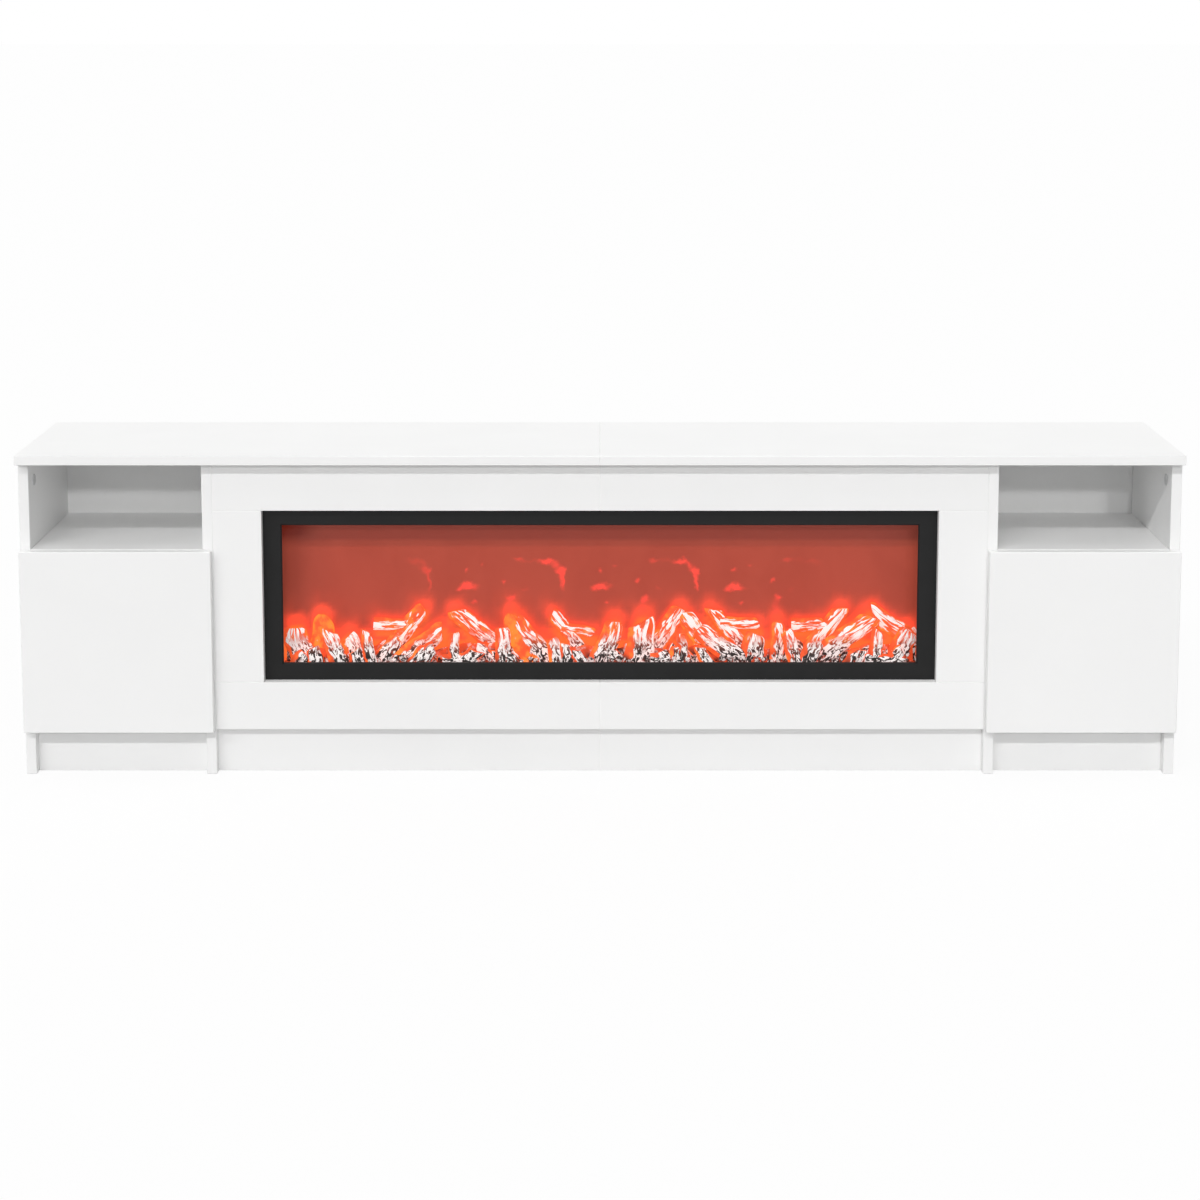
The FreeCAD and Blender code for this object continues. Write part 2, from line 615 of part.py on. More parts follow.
def latch_housing():
    """Housing of the left push latch, bored for its plunger."""
    front = CARCASS_FRONT + LATCH_SETBACK
    span = (-DIVIDER_OUTER - LATCH_WIDTH, -DIVIDER_OUTER)
    case = board(span, (front, front + LATCH_LENGTH), around(LATCH_LEVEL, LATCH_HEIGHT))
    end = PLUNGER_TIP + PLUNGER_LENGTH + PLUNGER_CLEARANCE
    start = Vector(PLUNGER_X, front - OVERRUN, LATCH_LEVEL)
    return case.cut(rod(start, BACKWARD, end - start.y, PLUNGER_DIAMETER + PLUNGER_CLEARANCE * 2))


def latch_plunger():
    """Plunger of the left push latch, its tip just behind the shut door."""
    return rod(Vector(PLUNGER_X, PLUNGER_TIP, LATCH_LEVEL), BACKWARD, PLUNGER_LENGTH, PLUNGER_DIAMETER)


def hinge_and_latch_pieces():
    """Hinges, latches and doors of both towers."""
    plates = [hinge_plate(level) for level in HINGE_LEVELS]
    arms = [hinge_arm(level) for level in HINGE_LEVELS]
    cups = [hinge_cup(level) for level in HINGE_LEVELS]
    pins = [hinge_pin(level) for level in HINGE_LEVELS]
    housing = latch_housing()
    pieces = {
        "hinge_plates": Part.makeCompound(plates + [mirrored(plate) for plate in plates]),
        "hinge_arms": Part.makeCompound(arms + [mirrored(arm) for arm in arms]),
        "latch_housings": Part.makeCompound([housing, mirrored(housing)]),
    }
    paired = {"door": door(), "hinge_cups": Part.makeCompound(cups + pins), "latch_plunger": latch_plunger()}
    for name, shape in paired.items():
        pieces[f"{name}_left"] = shape
        pieces[f"{name}_right"] = mirrored(shape)
    return pieces


def firebox_panels():
    """Sheet-steel floor, roof and ends of the firebox."""
    depth = (TRIM_BACK, FIREBOX_BACK)
    full = (-FIREBOX_HALF, FIREBOX_HALF)
    ends = []
    for _, sign in SIDES:
        ends.append(block(across(sign, CHAMBER_HALF, FIREBOX_HALF), depth, (CHAMBER_FLOOR, CHAMBER_TOP)))
    return {
        "firebox_floor": block(full, depth, (DECK_TOP, CHAMBER_FLOOR)),
        "firebox_roof": block(full, depth, (CHAMBER_TOP, FIREBOX_TOP)),
        "firebox_ends": Part.makeCompound(ends),
    }


def inlet_middle():
    """Middle of the power inlet on the outside of the firebox back."""
    return Vector(INLET_X, FIREBOX_BACK + SHEET_T, INLET_LEVEL)


def firebox_back():
    """Rear cover with banks of vents and the inlet's cut-out."""
    cover = (FIREBOX_BACK, FIREBOX_BACK + SHEET_T)
    panel = block((-FIREBOX_HALF, FIREBOX_HALF), cover, (DECK_TOP, FIREBOX_TOP))
    through = (cover[0] - OVERRUN, cover[1] + OVERRUN)
    cuts = []
    for share in VENT_BANK_SHARES:
        for row in range(VENT_ROWS):
            level = CHAMBER_TOP - VENT_PITCH * (row + VENT_ROWS / 2)
            cuts.append(block(around(share * FIREBOX_HALF, VENT_LENGTH), through, around(level, VENT_HEIGHT)))
    middle = inlet_middle()
    hole_width = INLET_WIDTH - INLET_LIP * 2 + BORE_CLEARANCE * 2
    hole_height = INLET_HEIGHT - INLET_LIP * 2 + BORE_CLEARANCE * 2
    cuts.append(block(around(middle.x, hole_width), through, around(middle.z, hole_height)))
    return panel.cut(cuts)


def trim_strip(outer, inner):
    """One mitred strip of the black frame from two outer and two inner corners, its inner edge bevelled."""
    corners = [Vector(x, FASCIA_BACK, z) for x, z in (outer[0], outer[1], inner[1], inner[0])]
    strip = prism(corners, BACKWARD, TRIM_T)
    middle = (corners[2] + corners[3]) / 2
    inner_edge = min(strip.Edges, key=lambda edge: edge.CenterOfMass.distanceToPoint(middle))
    return strip.makeChamfer(TRIM_BEVEL, [inner_edge])


def trim_frame():
    """Black frame of the fire: four mitred strips."""
    outer = (
        (-FIREBOX_HALF, DECK_TOP),
        (FIREBOX_HALF, DECK_TOP),
        (FIREBOX_HALF, FIREBOX_TOP),
        (-FIREBOX_HALF, FIREBOX_TOP),
    )
    inner = (
        (-WINDOW_HALF, WINDOW_BOTTOM),
        (WINDOW_HALF, WINDOW_BOTTOM),
        (WINDOW_HALF, WINDOW_TOP),
        (-WINDOW_HALF, WINDOW_TOP),
    )
    strips = []
    for near in range(len(outer)):
        far = (near + 1) % len(outer)
        strips.append(trim_strip((outer[near], outer[far]), (inner[near], inner[far])))
    return Part.makeCompound(strips)


def front_glass():
    """Pane behind the frame."""
    half = WINDOW_HALF + GLASS_LAP
    return block((-half, half), (TRIM_BACK, GLASS_BACK), (WINDOW_BOTTOM - GLASS_LAP, WINDOW_TOP + GLASS_LAP))


def ember_bed():
    """Moulded ember bed: a cover open below, over its lights."""
    bed = block((-BED_HALF, BED_HALF), (BED_FRONT, BED_BACK), (CHAMBER_FLOOR, BED_TOP))
    inside = BED_HALF - BED_WALL
    depth = (BED_FRONT + BED_WALL, BED_BACK - BED_WALL)
    return bed.cut(block((-inside, inside), depth, (CHAMBER_FLOOR - OVERRUN, BED_TOP - BED_WALL)))


def log(foot, tip, girth, depth):
    """Split log from foot to tip: eight uneven flats, thickest at the waist."""
    way = (tip - foot).normalize()
    side = way.cross(BACKWARD)
    places = (foot - way * girth, between(foot, tip, LOG_WAIST_SHARE), tip)
    rings = []
    for place, taper in zip(places, LOG_TAPER_SHARES):
        ring = []
        for corner, share in enumerate(LOG_RING_SHARES):
            angle = math.radians(TURN * (corner + 0.5) / len(LOG_RING_SHARES))
            wide = side * (math.cos(angle) * share * girth / 2 * taper)
            deep = BACKWARD * (math.sin(angle) * share * depth / 2 * taper)
            ring.append(place + wide + deep)
        rings.append(Part.makePolygon([*ring, ring[0]]))
    return Part.makeLoft(rings, True, True)


def log_row(shares, row):
    """One row of logs on the ember bed, joined where they cross and cut flat where they stand."""
    row_depth = (BED_BACK - BED_FRONT) / LOG_ROWS
    middle = BED_FRONT + row_depth * (row + 0.5)
    logs = []
    for foot_x, tip_x, foot_z, tip_z, girth in shares:
        foot = Vector(between(-WINDOW_HALF, WINDOW_HALF, foot_x), middle, BED_TOP + LOG_RISE * foot_z)
        tip = Vector(between(-WINDOW_HALF, WINDOW_HALF, tip_x), middle, BED_TOP + LOG_RISE * tip_z)
        logs.append(log(foot, tip, LOG_GIRTH * girth, row_depth - ROW_GAP))
    room = block((-CHAMBER_HALF, CHAMBER_HALF), (BED_FRONT, BED_BACK), (BED_TOP, CHAMBER_TOP))
    return logs[0].fuse(logs[1:]).common(room)


def flame_screen():
    """Translucent screen that shows the flames."""
    half = CHAMBER_HALF - SCREEN_SLACK
    return block((-half, half), (SCREEN_FRONT, SCREEN_BACK), (CHAMBER_FLOOR, CHAMBER_TOP - SCREEN_SLACK))


def rotor_ends():
    """Places where the rotor's rod meets the motor and the bush."""
    left = -CHAMBER_HALF + MOTOR_LENGTH + JOURNAL_CLEARANCE
    right = CHAMBER_HALF - BUSH_LENGTH - JOURNAL_CLEARANCE
    return left, right


def flame_rotor():
    """Rod with a spiral of reflecting vanes and a journal at each end."""
    left, right = rotor_ends()
    axis_start = Vector(left, ROTOR_DEPTH, ROTOR_LEVEL)
    rotor = rod(axis_start, RIGHT, right - left, ROD_DIAMETER)
    journal_start = axis_start - RIGHT * JOURNAL_LENGTH
    rotor = rotor.fuse(rod(journal_start, RIGHT, right - left + JOURNAL_LENGTH * 2, JOURNAL_DIAMETER))
    vanes = []
    for count in range(VANE_COUNT):
        x = between(left, right, (count + 0.5) / VANE_COUNT)
        depth = around(ROTOR_DEPTH, VANE_WIDTH)
        vane = block(around(x, VANE_LENGTH), depth, around(ROTOR_LEVEL, VANE_T))
        vane.rotate(Vector(x, ROTOR_DEPTH, ROTOR_LEVEL), RIGHT, VANE_TURN * count)
        vanes.append(vane)
    return rotor.fuse(vanes).removeSplitter()


def rotor_motor():
    """Geared motor on the left end of the firebox, bored for the rotor's journal."""
    start = Vector(-CHAMBER_HALF, ROTOR_DEPTH, ROTOR_LEVEL)
    case = rod(start, RIGHT, MOTOR_LENGTH, MOTOR_DIAMETER)
    ears_span = (-CHAMBER_HALF, -CHAMBER_HALF + MOTOR_PLATE_T)
    ears = block(ears_span, around(ROTOR_DEPTH, MOTOR_PLATE_WIDTH), around(ROTOR_LEVEL, MOTOR_PLATE_LENGTH))
    bore_start = start + RIGHT * (MOTOR_LENGTH - JOURNAL_LENGTH)
    bore = rod(bore_start, RIGHT, JOURNAL_LENGTH + OVERRUN, JOURNAL_DIAMETER + JOURNAL_CLEARANCE * 2)
    return case.fuse(ears).removeSplitter().cut(bore)


def rotor_bush():
    """Flanged bush on the right end of the firebox."""
    start = Vector(CHAMBER_HALF, ROTOR_DEPTH, ROTOR_LEVEL)
    flange = rod(start, -RIGHT, BUSH_FLANGE_T, BUSH_FLANGE_DIAMETER)
    body = rod(start, -RIGHT, BUSH_LENGTH, BUSH_DIAMETER)
    bore_start = start - RIGHT * (BUSH_LENGTH - JOURNAL_LENGTH)
    bore = rod(bore_start, -RIGHT, JOURNAL_LENGTH + OVERRUN, JOURNAL_DIAMETER + JOURNAL_CLEARANCE * 2)
    return body.fuse(flange).removeSplitter().cut(bore)


def light_board(middle):
    """Strip board with a row of lamps, flat on the firebox floor."""
    top = CHAMBER_FLOOR + LIGHT_BOARD_T
    strip = block((-LIGHT_BOARD_HALF, LIGHT_BOARD_HALF), around(middle, LIGHT_BOARD_WIDTH), (CHAMBER_FLOOR, top))
    lamps = []
    for count in range(LAMP_COUNT):
        x = between(-LIGHT_BOARD_HALF, LIGHT_BOARD_HALF, (count + 0.5) / LAMP_COUNT)
        lamps.append(block(around(x, LAMP_SIZE), around(middle, LAMP_SIZE), (top, top + LAMP_HEIGHT)))
    return strip.fuse(lamps).removeSplitter()


def light_boards():
    """One strip under the ember bed and one below the rotor."""
    return Part.makeCompound([light_board((BED_FRONT + BED_BACK) / 2), light_board(ROTOR_DEPTH)])


def control_box():
    """Case of the control electronics against the rear cover."""
    x = INLET_X - INLET_WIDTH / 2
    depth = (FIREBOX_BACK - CONTROL_DEPTH, FIREBOX_BACK)
    case = block((x - CONTROL_LENGTH, x), depth, (CHAMBER_FLOOR, CHAMBER_FLOOR + CONTROL_HEIGHT))
    return case.makeChamfer(CONTROL_EASE, case.Edges)


def rocker_pivot():
    """Middle of the rocker's pin, level with the face of the inlet's flange."""
    middle = inlet_middle()
    return middle + RIGHT * (INLET_WIDTH * POCKET_PLACE_SHARE) + BACKWARD * INLET_FLANGE_T


def power_inlet():
    """Inlet with two contacts in a socket, beside the rocker's pocket."""
    middle = inlet_middle()
    outside = middle.y + INLET_FLANGE_T
    flange = block(around(middle.x, INLET_WIDTH), (middle.y, outside), around(middle.z, INLET_HEIGHT))
    inner_width = around(middle.x, INLET_WIDTH - INLET_LIP * 2)
    inner_height = around(middle.z, INLET_HEIGHT - INLET_LIP * 2)
    inlet = flange.fuse(block(inner_width, (outside - INLET_DEPTH, outside), inner_height)).removeSplitter()
    pivot = rocker_pivot()
    pocket_depth = (outside - POCKET_DEPTH, outside + OVERRUN)
    pocket = block(around(pivot.x, POCKET_WIDTH), pocket_depth, around(pivot.z, POCKET_HEIGHT))
    socket_x = middle.x + INLET_WIDTH * SOCKET_PLACE_SHARE
    socket_depth = (outside - SOCKET_DEPTH, outside + OVERRUN)
    socket = block(around(socket_x, SOCKET_WIDTH), socket_depth, around(middle.z, SOCKET_HEIGHT))
    inlet = inlet.cut([pocket, socket, rocker_bore()])
    contacts = []
    for x in around(socket_x, CONTACT_PITCH):
        start = Vector(x, outside - SOCKET_DEPTH, middle.z)
        contacts.append(rod(start, BACKWARD, CONTACT_LENGTH, CONTACT_DIAMETER))
    return inlet.fuse(contacts).removeSplitter()


def rocker_axis_point():
    """Point on the rocker's pin, sunk below the flange by half of the rocker's drop."""
    return rocker_pivot() + FORWARD * (ROCKER_DROP / 2)


def rocker_bore():
    """Bore through the pocket's walls for the rocker's pin."""
    start = rocker_axis_point() - RIGHT * (ROCKER_PIN_LENGTH / 2 + ROCKER_PIN_CLEARANCE)
    length = ROCKER_PIN_LENGTH + ROCKER_PIN_CLEARANCE * 2
    return rod(start, RIGHT, length, ROCKER_PIN_DIAMETER + ROCKER_PIN_CLEARANCE * 2)


def power_rocker():
    """Rocker with a dipped face and its pin, resting on its lower half."""
    centre = rocker_axis_point()
    half = ROCKER_LENGTH / 2
    start = centre - RIGHT * (ROCKER_WIDTH / 2)
    places = ((ROCKER_DIP, 0), (ROCKER_RISE, half), (-ROCKER_DROP, half), (-ROCKER_DROP, -half), (ROCKER_RISE, -half))
    key = prism([start + BACKWARD * y + UP * z for y, z in places], RIGHT, ROCKER_WIDTH)
    pin = rod(centre - RIGHT * (ROCKER_PIN_LENGTH / 2), RIGHT, ROCKER_PIN_LENGTH, ROCKER_PIN_DIAMETER)
    rocker = key.fuse(pin).removeSplitter()
    rocker.rotate(centre, RIGHT, ROCKER_TILT)
    return rocker


def cabinet_pieces():
    """Boards with their bores, and the fittings that join them."""
    boards = centre_boards()
    for name, sign in SIDES:
        boards.update(tower_boards(name, sign))
        boards.update(middle_boards(name, sign))
    cams = cam_joints()
    dowels = dowel_joints()
    bore_for_cams(boards, cams)
    bore_for_dowels(boards, dowels)
    boards["cam_locks"] = Part.makeCompound([cam_lock(joint) for joint in cams])
    boards["cam_bolts"] = Part.makeCompound([cam_bolt(joint) for joint in cams])
    boards["dowels"] = Part.makeCompound([dowel(joint) for joint in dowels])
    boards["corner_brackets"] = corner_brackets()
    boards["joining_plates"] = joining_plates()
    return boards


def fire_pieces():
    """Everything of the electric fire."""
    return {
        **firebox_panels(),
        "firebox_back": firebox_back(),
        "trim_frame": trim_frame(),
        "front_glass": front_glass(),
        "ember_bed": ember_bed(),
        "logs_front_row": log_row(FRONT_LOG_SHARES, 0),
        "logs_middle_row": log_row(MIDDLE_LOG_SHARES, 1),
        "logs_back_row": log_row(BACK_LOG_SHARES, 2),
        "flame_screen": flame_screen(),
        "flame_rotor": flame_rotor(),
        "rotor_motor": rotor_motor(),
        "rotor_bush": rotor_bush(),
        "light_boards": light_boards(),
        "control_box": control_box(),
        "power_inlet": power_inlet(),
        "power_rocker": power_rocker(),
    }


def write_parts():
    """Write one STEP file for each node."""
    os.makedirs("parts", exist_ok=True)
    pieces = {**cabinet_pieces(), **hinge_and_latch_pieces(), **fire_pieces()}
    for node, shape in pieces.items():
        shape.exportStep(f"parts/{node}.step")
        print(node, len(shape.Solids), shape.isValid(), round(shape.Volume))
    print(len(pieces), "nodes")


write_parts()
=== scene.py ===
"""Low white media cabinet with a log-effect electric fire, dressed on its CAD frame."""

import logging
import math
import random
from dataclasses import dataclass, field
from enum import Enum
from typing import Any, Iterable, Sequence

import bmesh
import bpy
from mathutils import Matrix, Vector, noise


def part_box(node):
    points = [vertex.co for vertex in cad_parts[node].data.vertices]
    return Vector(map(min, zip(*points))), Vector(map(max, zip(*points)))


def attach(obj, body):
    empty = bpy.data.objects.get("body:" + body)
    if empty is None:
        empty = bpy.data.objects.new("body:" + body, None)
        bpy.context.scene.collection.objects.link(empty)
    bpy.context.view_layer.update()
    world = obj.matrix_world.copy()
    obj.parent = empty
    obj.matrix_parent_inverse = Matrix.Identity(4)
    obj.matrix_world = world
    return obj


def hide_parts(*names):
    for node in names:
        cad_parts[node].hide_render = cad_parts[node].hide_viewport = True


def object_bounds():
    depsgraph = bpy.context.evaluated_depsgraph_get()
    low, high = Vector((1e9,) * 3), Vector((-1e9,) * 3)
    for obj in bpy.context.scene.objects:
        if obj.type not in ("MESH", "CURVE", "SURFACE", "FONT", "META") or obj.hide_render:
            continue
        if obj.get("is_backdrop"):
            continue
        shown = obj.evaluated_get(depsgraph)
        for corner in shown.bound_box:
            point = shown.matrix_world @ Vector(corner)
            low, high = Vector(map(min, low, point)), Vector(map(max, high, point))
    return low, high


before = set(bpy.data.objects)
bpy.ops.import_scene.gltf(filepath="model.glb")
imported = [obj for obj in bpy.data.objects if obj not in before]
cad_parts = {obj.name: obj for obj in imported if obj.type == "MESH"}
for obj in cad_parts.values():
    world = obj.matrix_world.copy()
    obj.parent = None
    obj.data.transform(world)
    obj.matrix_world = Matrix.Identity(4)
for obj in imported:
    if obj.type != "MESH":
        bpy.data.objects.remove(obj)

LOG = logging.getLogger("cabinet")
CAD_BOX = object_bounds()

Colour = tuple[float, float, float]
Stretch = tuple[float, float, float]
Span = tuple[float, float]
Socket = bpy.types.NodeSocket

BACK = Vector((0.0, 1.0, 0.0))
UP = Vector((0.0, 0.0, 1.0))

# Spans of a noise: the wide one shows as soft clouds, the narrow one as patches.
CLOUDS = (0.3, 0.7)
PATCHES = (0.35, 0.65)

# Depth of a fine grain in metres.
FINE = 0.0003


class Slot(Enum):
    """Material slots of the record."""

    WHITE = "white_laminate"
    BACKING = "backing_board"
    BEECH = "beech"
    ZINC = "zinc"
    NICKEL = "nickel"
    BRASS = "brass"
    GREY_PLASTIC = "grey_plastic"
    BLACK_PLASTIC = "black_plastic"
    ROCKER = "rocker_plastic"
    STEEL = "black_steel"
    FRAME = "black_frame"
    GLASS = "glass"
    EMBER = "ember_resin"
    LOG = "log_resin"
    FLAME = "flame_acrylic"
    FOIL = "foil"
    CIRCUIT = "circuit_board"


class Body(Enum):
    """Bodies of the frame."""

    CABINET = "cabinet"
    LEFT_DOOR = "left_door"
    RIGHT_DOOR = "right_door"


class Side(Enum):
    """The two towers, with the sign of their X."""

    LEFT = -1
    RIGHT = 1

    @property
    def word(self) -> str:
        """Name of the side as the nodes spell it."""
        return self.name.lower()


def pair(stem: str) -> list[str]:
    """Names of a left and a right node."""
    return [f"{stem}_{side.word}" for side in Side]


def unit(value: float) -> float:
    """Clamp a value to between 0 and 1."""
    return min(1.0, max(0.0, value))


def shade(colour: Colour, share: float, lift: float = 0.0) -> Colour:
    """Scale a colour and lift it by a fixed amount."""
    return tuple(part * share + lift for part in colour)


def crack_at(spot: Vector, width: float) -> float:
    """How deep a point lies in a crack of the noise, from 0 to 1."""
    return max(0.0, 1.0 - abs(noise.noise(spot)) / width)


def around(first: Vector, second: Vector, steps: int) -> list[tuple[float, Vector]]:
    """Angles of the steps round a circle, each with its way out from the middle."""
    angles = [math.tau * step / steps for step in range(steps)]
    return [(angle, first * math.cos(angle) + second * math.sin(angle)) for angle in angles]


def rim(lines: Sequence[list[int]]) -> list[int]:
    """Corners round the border of a grid."""
    right, left = [line[-1] for line in lines[1:]], [line[0] for line in lines[-2:0:-1]]
    return lines[0] + right + lines[-1][-2::-1] + left


def add_object(name: str, data: bpy.types.ID) -> bpy.types.Object:
    """Put a new object into the scene.

    Args:
        name: Its name.
        data: Its mesh, lamp or camera.

    Returns:
        The object.
    """
    obj = bpy.data.objects.new(name, data)
    bpy.context.scene.collection.objects.link(obj)
    return obj


class Graph:
    """Small builder for the nodes of a material or of the world."""

    def __init__(self, owner: bpy.types.Material | bpy.types.World, output: str = "Material") -> None:
        """Start with nothing but the output.

        Args:
            owner: The material or the world.
            output: Kind of its output node.
        """
        self.owner = owner
        owner.use_nodes = True
        self.tree = owner.node_tree
        self.tree.nodes.clear()
        self.output = self.tree.nodes.new(f"ShaderNodeOutput{output}")

    def node(self, kind: str, values: dict[Any, Any] | None = None, **settings: Any) -> bpy.types.Node:
        """Add one node.

        Args:
            kind: Blender's type name of the node.
            values: Inputs by name or place, each a value or a socket to link.
            settings: Attributes of the node.

        Returns:
            The new node.
        """
        made = self.tree.nodes.new(kind)
        for key, value in settings.items():
            setattr(made, key, value)
        for key, value in (values or {}).items():
            if isinstance(value, Socket):
                self.tree.links.new(value, made.inputs[key])
            else:
                made.inputs[key].default_value = value
        return made

    def place(self) -> Socket:
        """Position on the object in metres."""
        return self.node("ShaderNodeTexCoord").outputs["Object"]

    def noise(self, vector: Socket, scale: float, detail: float = 4.0, distortion: float = 0.0) -> Socket:
        """Noise between 0 and 1, with its cycles per metre, octaves and bend."""
        values = {"Vector": vector, "Scale": scale, "Detail": detail, "Distortion": distortion}
        return self.node("ShaderNodeTexNoise", values).outputs["Fac"]

    def math(self, operation: str, *terms: Any) -> Socket:
        """One sum of numbers."""
        return self.node("ShaderNodeMath", dict(enumerate(terms)), operation=operation).outputs[0]

    def vector(self, operation: str, *terms: Any) -> Socket:
        """One sum of vectors."""
        return self.node("ShaderNodeVectorMath", dict(enumerate(terms)), operation=operation).outputs[0]

    def span(self, value: Any, low: float, high: float, start: float = 0.0, end: float = 1.0) -> Socket:
        """Map values from low to high smoothly to results from start to end, clamped."""
        values = {"Value": value, "From Min": low, "From Max": high, "To Min": start, "To Max": end}
        return self.node("ShaderNodeMapRange", values, interpolation_type="SMOOTHSTEP").outputs["Result"]

    def uneven(self, pattern: Socket, roughness: float, swing: Span) -> Socket:
        """Roughness that swings below and above its value with a pattern."""
        return self.span(pattern, *CLOUDS, roughness + swing[0], roughness + swing[1])

    def mix(self, share: Socket, first: Any, second: Any) -> Socket:
        """Mix two numbers, on the mix node's sockets for numbers."""
        return self.node("ShaderNodeMix", {0: share, 2: first, 3: second}, data_type="FLOAT").outputs[0]

    def blend(self, share: Socket, first: Any, second: Any) -> Socket:
        """Mix two colours, on the mix node's sockets for colours."""
        ends = [value if isinstance(value, Socket) else (*value, 1.0) for value in (first, second)]
        return self.node("ShaderNodeMix", {0: share, 6: ends[0], 7: ends[1]}, data_type="RGBA").outputs[2]

    def bump(self, height: Socket, strength: float, distance: float = FINE) -> Socket:
        """Normal from a height, with the metres that a height of 1 stands for."""
        values = {"Height": height, "Strength": strength, "Distance": distance}
        return self.node("ShaderNodeBump", values).outputs["Normal"]

    def attribute(self, name: str, output: str = "Fac") -> Socket:
        """Read a mesh attribute."""
        return self.node("ShaderNodeAttribute", attribute_name=name).outputs[output]

    def principled(self, values: dict[str, Any]) -> Socket:
        """Main shader, with its inputs by name."""
        return self.node("ShaderNodeBsdfPrincipled", values).outputs[0]

    def surface(self, shader: Socket) -> bpy.types.ID:
        """Finish the material or the world with its shader."""
        self.tree.links.new(shader, self.output.inputs["Surface"])
        return self.owner


@dataclass(frozen=True)
class Finish:
    """Finish of one material slot."""

    slot: Slot

    def graph(self) -> Graph:
        """Start the finish's material."""
        return Graph(bpy.data.materials.new(self.slot.value))


@dataclass(frozen=True)
class Laminate(Finish):
    """Melamine-faced board: even colour, fine grained face, slight change of gloss."""

    colour: Colour
    grain: float = 520.0
    cloud: float = 9.0
    dark: float = 0.985
    roughness: float = 0.42
    swing: Span = (-0.05, 0.06)
    relief: float = 0.0004

    def material(self) -> bpy.types.Material:
        """Make the material.

        Returns:
            The material.
        """
        graph = self.graph()
        place = graph.place()
        cloud = graph.noise(place, self.cloud, 3.0)
        fine = graph.noise(place, self.grain, 5.0)
        dark = shade(self.colour, self.dark)
        shader = graph.principled(
            {
                "Base Color": graph.blend(graph.span(cloud, *CLOUDS), dark, self.colour),
                "Roughness": graph.uneven(fine, self.roughness, self.swing),
                "Normal": graph.bump(fine, 0.12, self.relief),
            }
        )
        return graph.surface(shader)


@dataclass(frozen=True)
class Hardboard(Finish):
    """Thin back panel: white faced in front, brown pressed fibre behind."""

    face: Colour
    fibre: Colour
    fleck: Colour = (0.42, 0.30, 0.18)
    lie: Stretch = (1.0, 1.0, 3.0)
    grain: float = 240.0
    speck: float = 900.0
    dark: float = 0.62
    relief: float = 0.0005

    def material(self) -> bpy.types.Material:
        """Make the material.

        Returns:
            The material.
        """
        graph = self.graph()
        place = graph.place()
        fine = graph.noise(graph.vector("MULTIPLY", place, self.lie), self.grain, 6.0)
        speck = graph.noise(place, self.speck, 3.0)
        brown = graph.blend(graph.span(fine, 0.32, 0.68), shade(self.fibre, self.dark), self.fibre)
        brown = graph.blend(graph.span(speck, 0.62, 0.75, 0.0, 0.5), brown, self.fleck)
        normal = graph.node("ShaderNodeTexCoord").outputs["Normal"]
        back = graph.node("ShaderNodeSeparateXYZ", {0: normal}).outputs["Y"]
        shader = graph.principled(
            {
                "Base Color": graph.blend(graph.span(back, 0.4, 0.6), self.face, brown),
                "Roughness": 0.62,
                "Normal": graph.bump(fine, 0.2, self.relief),
            }
        )
        return graph.surface(shader)


@dataclass(frozen=True)
class Metal(Finish):
    """Plated or polished metal with brush lines and dull patches."""

    colour: Colour
    roughness: float
    lines: Stretch = (1.0, 1.0, 14.0)
    brush: float = 320.0
    patch: float = 70.0
    dull: float = 0.78
    swing: Span = (-0.07, 0.1)

    def material(self) -> bpy.types.Material:
        """Make the material.

        Returns:
            The material.
        """
        graph = self.graph()
        place = graph.place()
        brush = graph.noise(graph.vector("MULTIPLY", place, self.lines), self.brush)
        patch = graph.noise(place, self.patch)
        dull = shade(self.colour, self.dull)
        shader = graph.principled(
            {
                "Base Color": graph.blend(graph.span(patch, *PATCHES), dull, self.colour),
                "Metallic": 1.0,
                "Roughness": graph.uneven(brush, self.roughness, self.swing),
                "Normal": graph.bump(brush, 0.1),
            }
        )
        return graph.surface(shader)


@dataclass(frozen=True)
class Plastic(Finish):
    """Moulded plastic or powder paint: fine spark-eroded texture and uneven gloss."""

    colour: Colour
    roughness: float
    grain: float = 1400.0
    relief: float = 0.25
    shine: float = 0.5
    cloud: float = 24.0
    pale: Span = (1.18, 0.002)
    swing: Span = (-0.05, 0.06)

    def material(self) -> bpy.types.Material:
        """Make the material.

        Returns:
            The material.
        """
        graph = self.graph()
        place = graph.place()
        fine = graph.noise(place, self.grain, 3.0)
        cloud = graph.noise(place, self.cloud)
        pale = shade(self.colour, *self.pale)
        shader = graph.principled(
            {
                "Base Color": graph.blend(graph.span(cloud, *PATCHES), self.colour, pale),
                "Roughness": graph.uneven(cloud, self.roughness, self.swing),
                "Specular IOR Level": self.shine,
                "Normal": graph.bump(fine, self.relief),
            }
        )
        return graph.surface(shader)


@dataclass(frozen=True)
class Beech(Finish):
    """Turned beech with short flecks along the grain."""

    colour: Colour
    lie: Stretch = (0.12, 1.0, 1.0)
    grain: float = 700.0
    dark: float = 0.7

    def material(self) -> bpy.types.Material:
        """Make the material.

        Returns:
            The material.
        """
        graph = self.graph()
        fibre = graph.noise(graph.vector("MULTIPLY", graph.place(), self.lie), self.grain, 5.0, 0.4)
        colour = graph.blend(graph.span(fibre, 0.35, 0.68), shade(self.colour, self.dark), self.colour)
        return graph.surface(
            graph.principled({"Base Color": colour, "Roughness": 0.6, "Normal": graph.bump(fibre, 0.25)})
        )


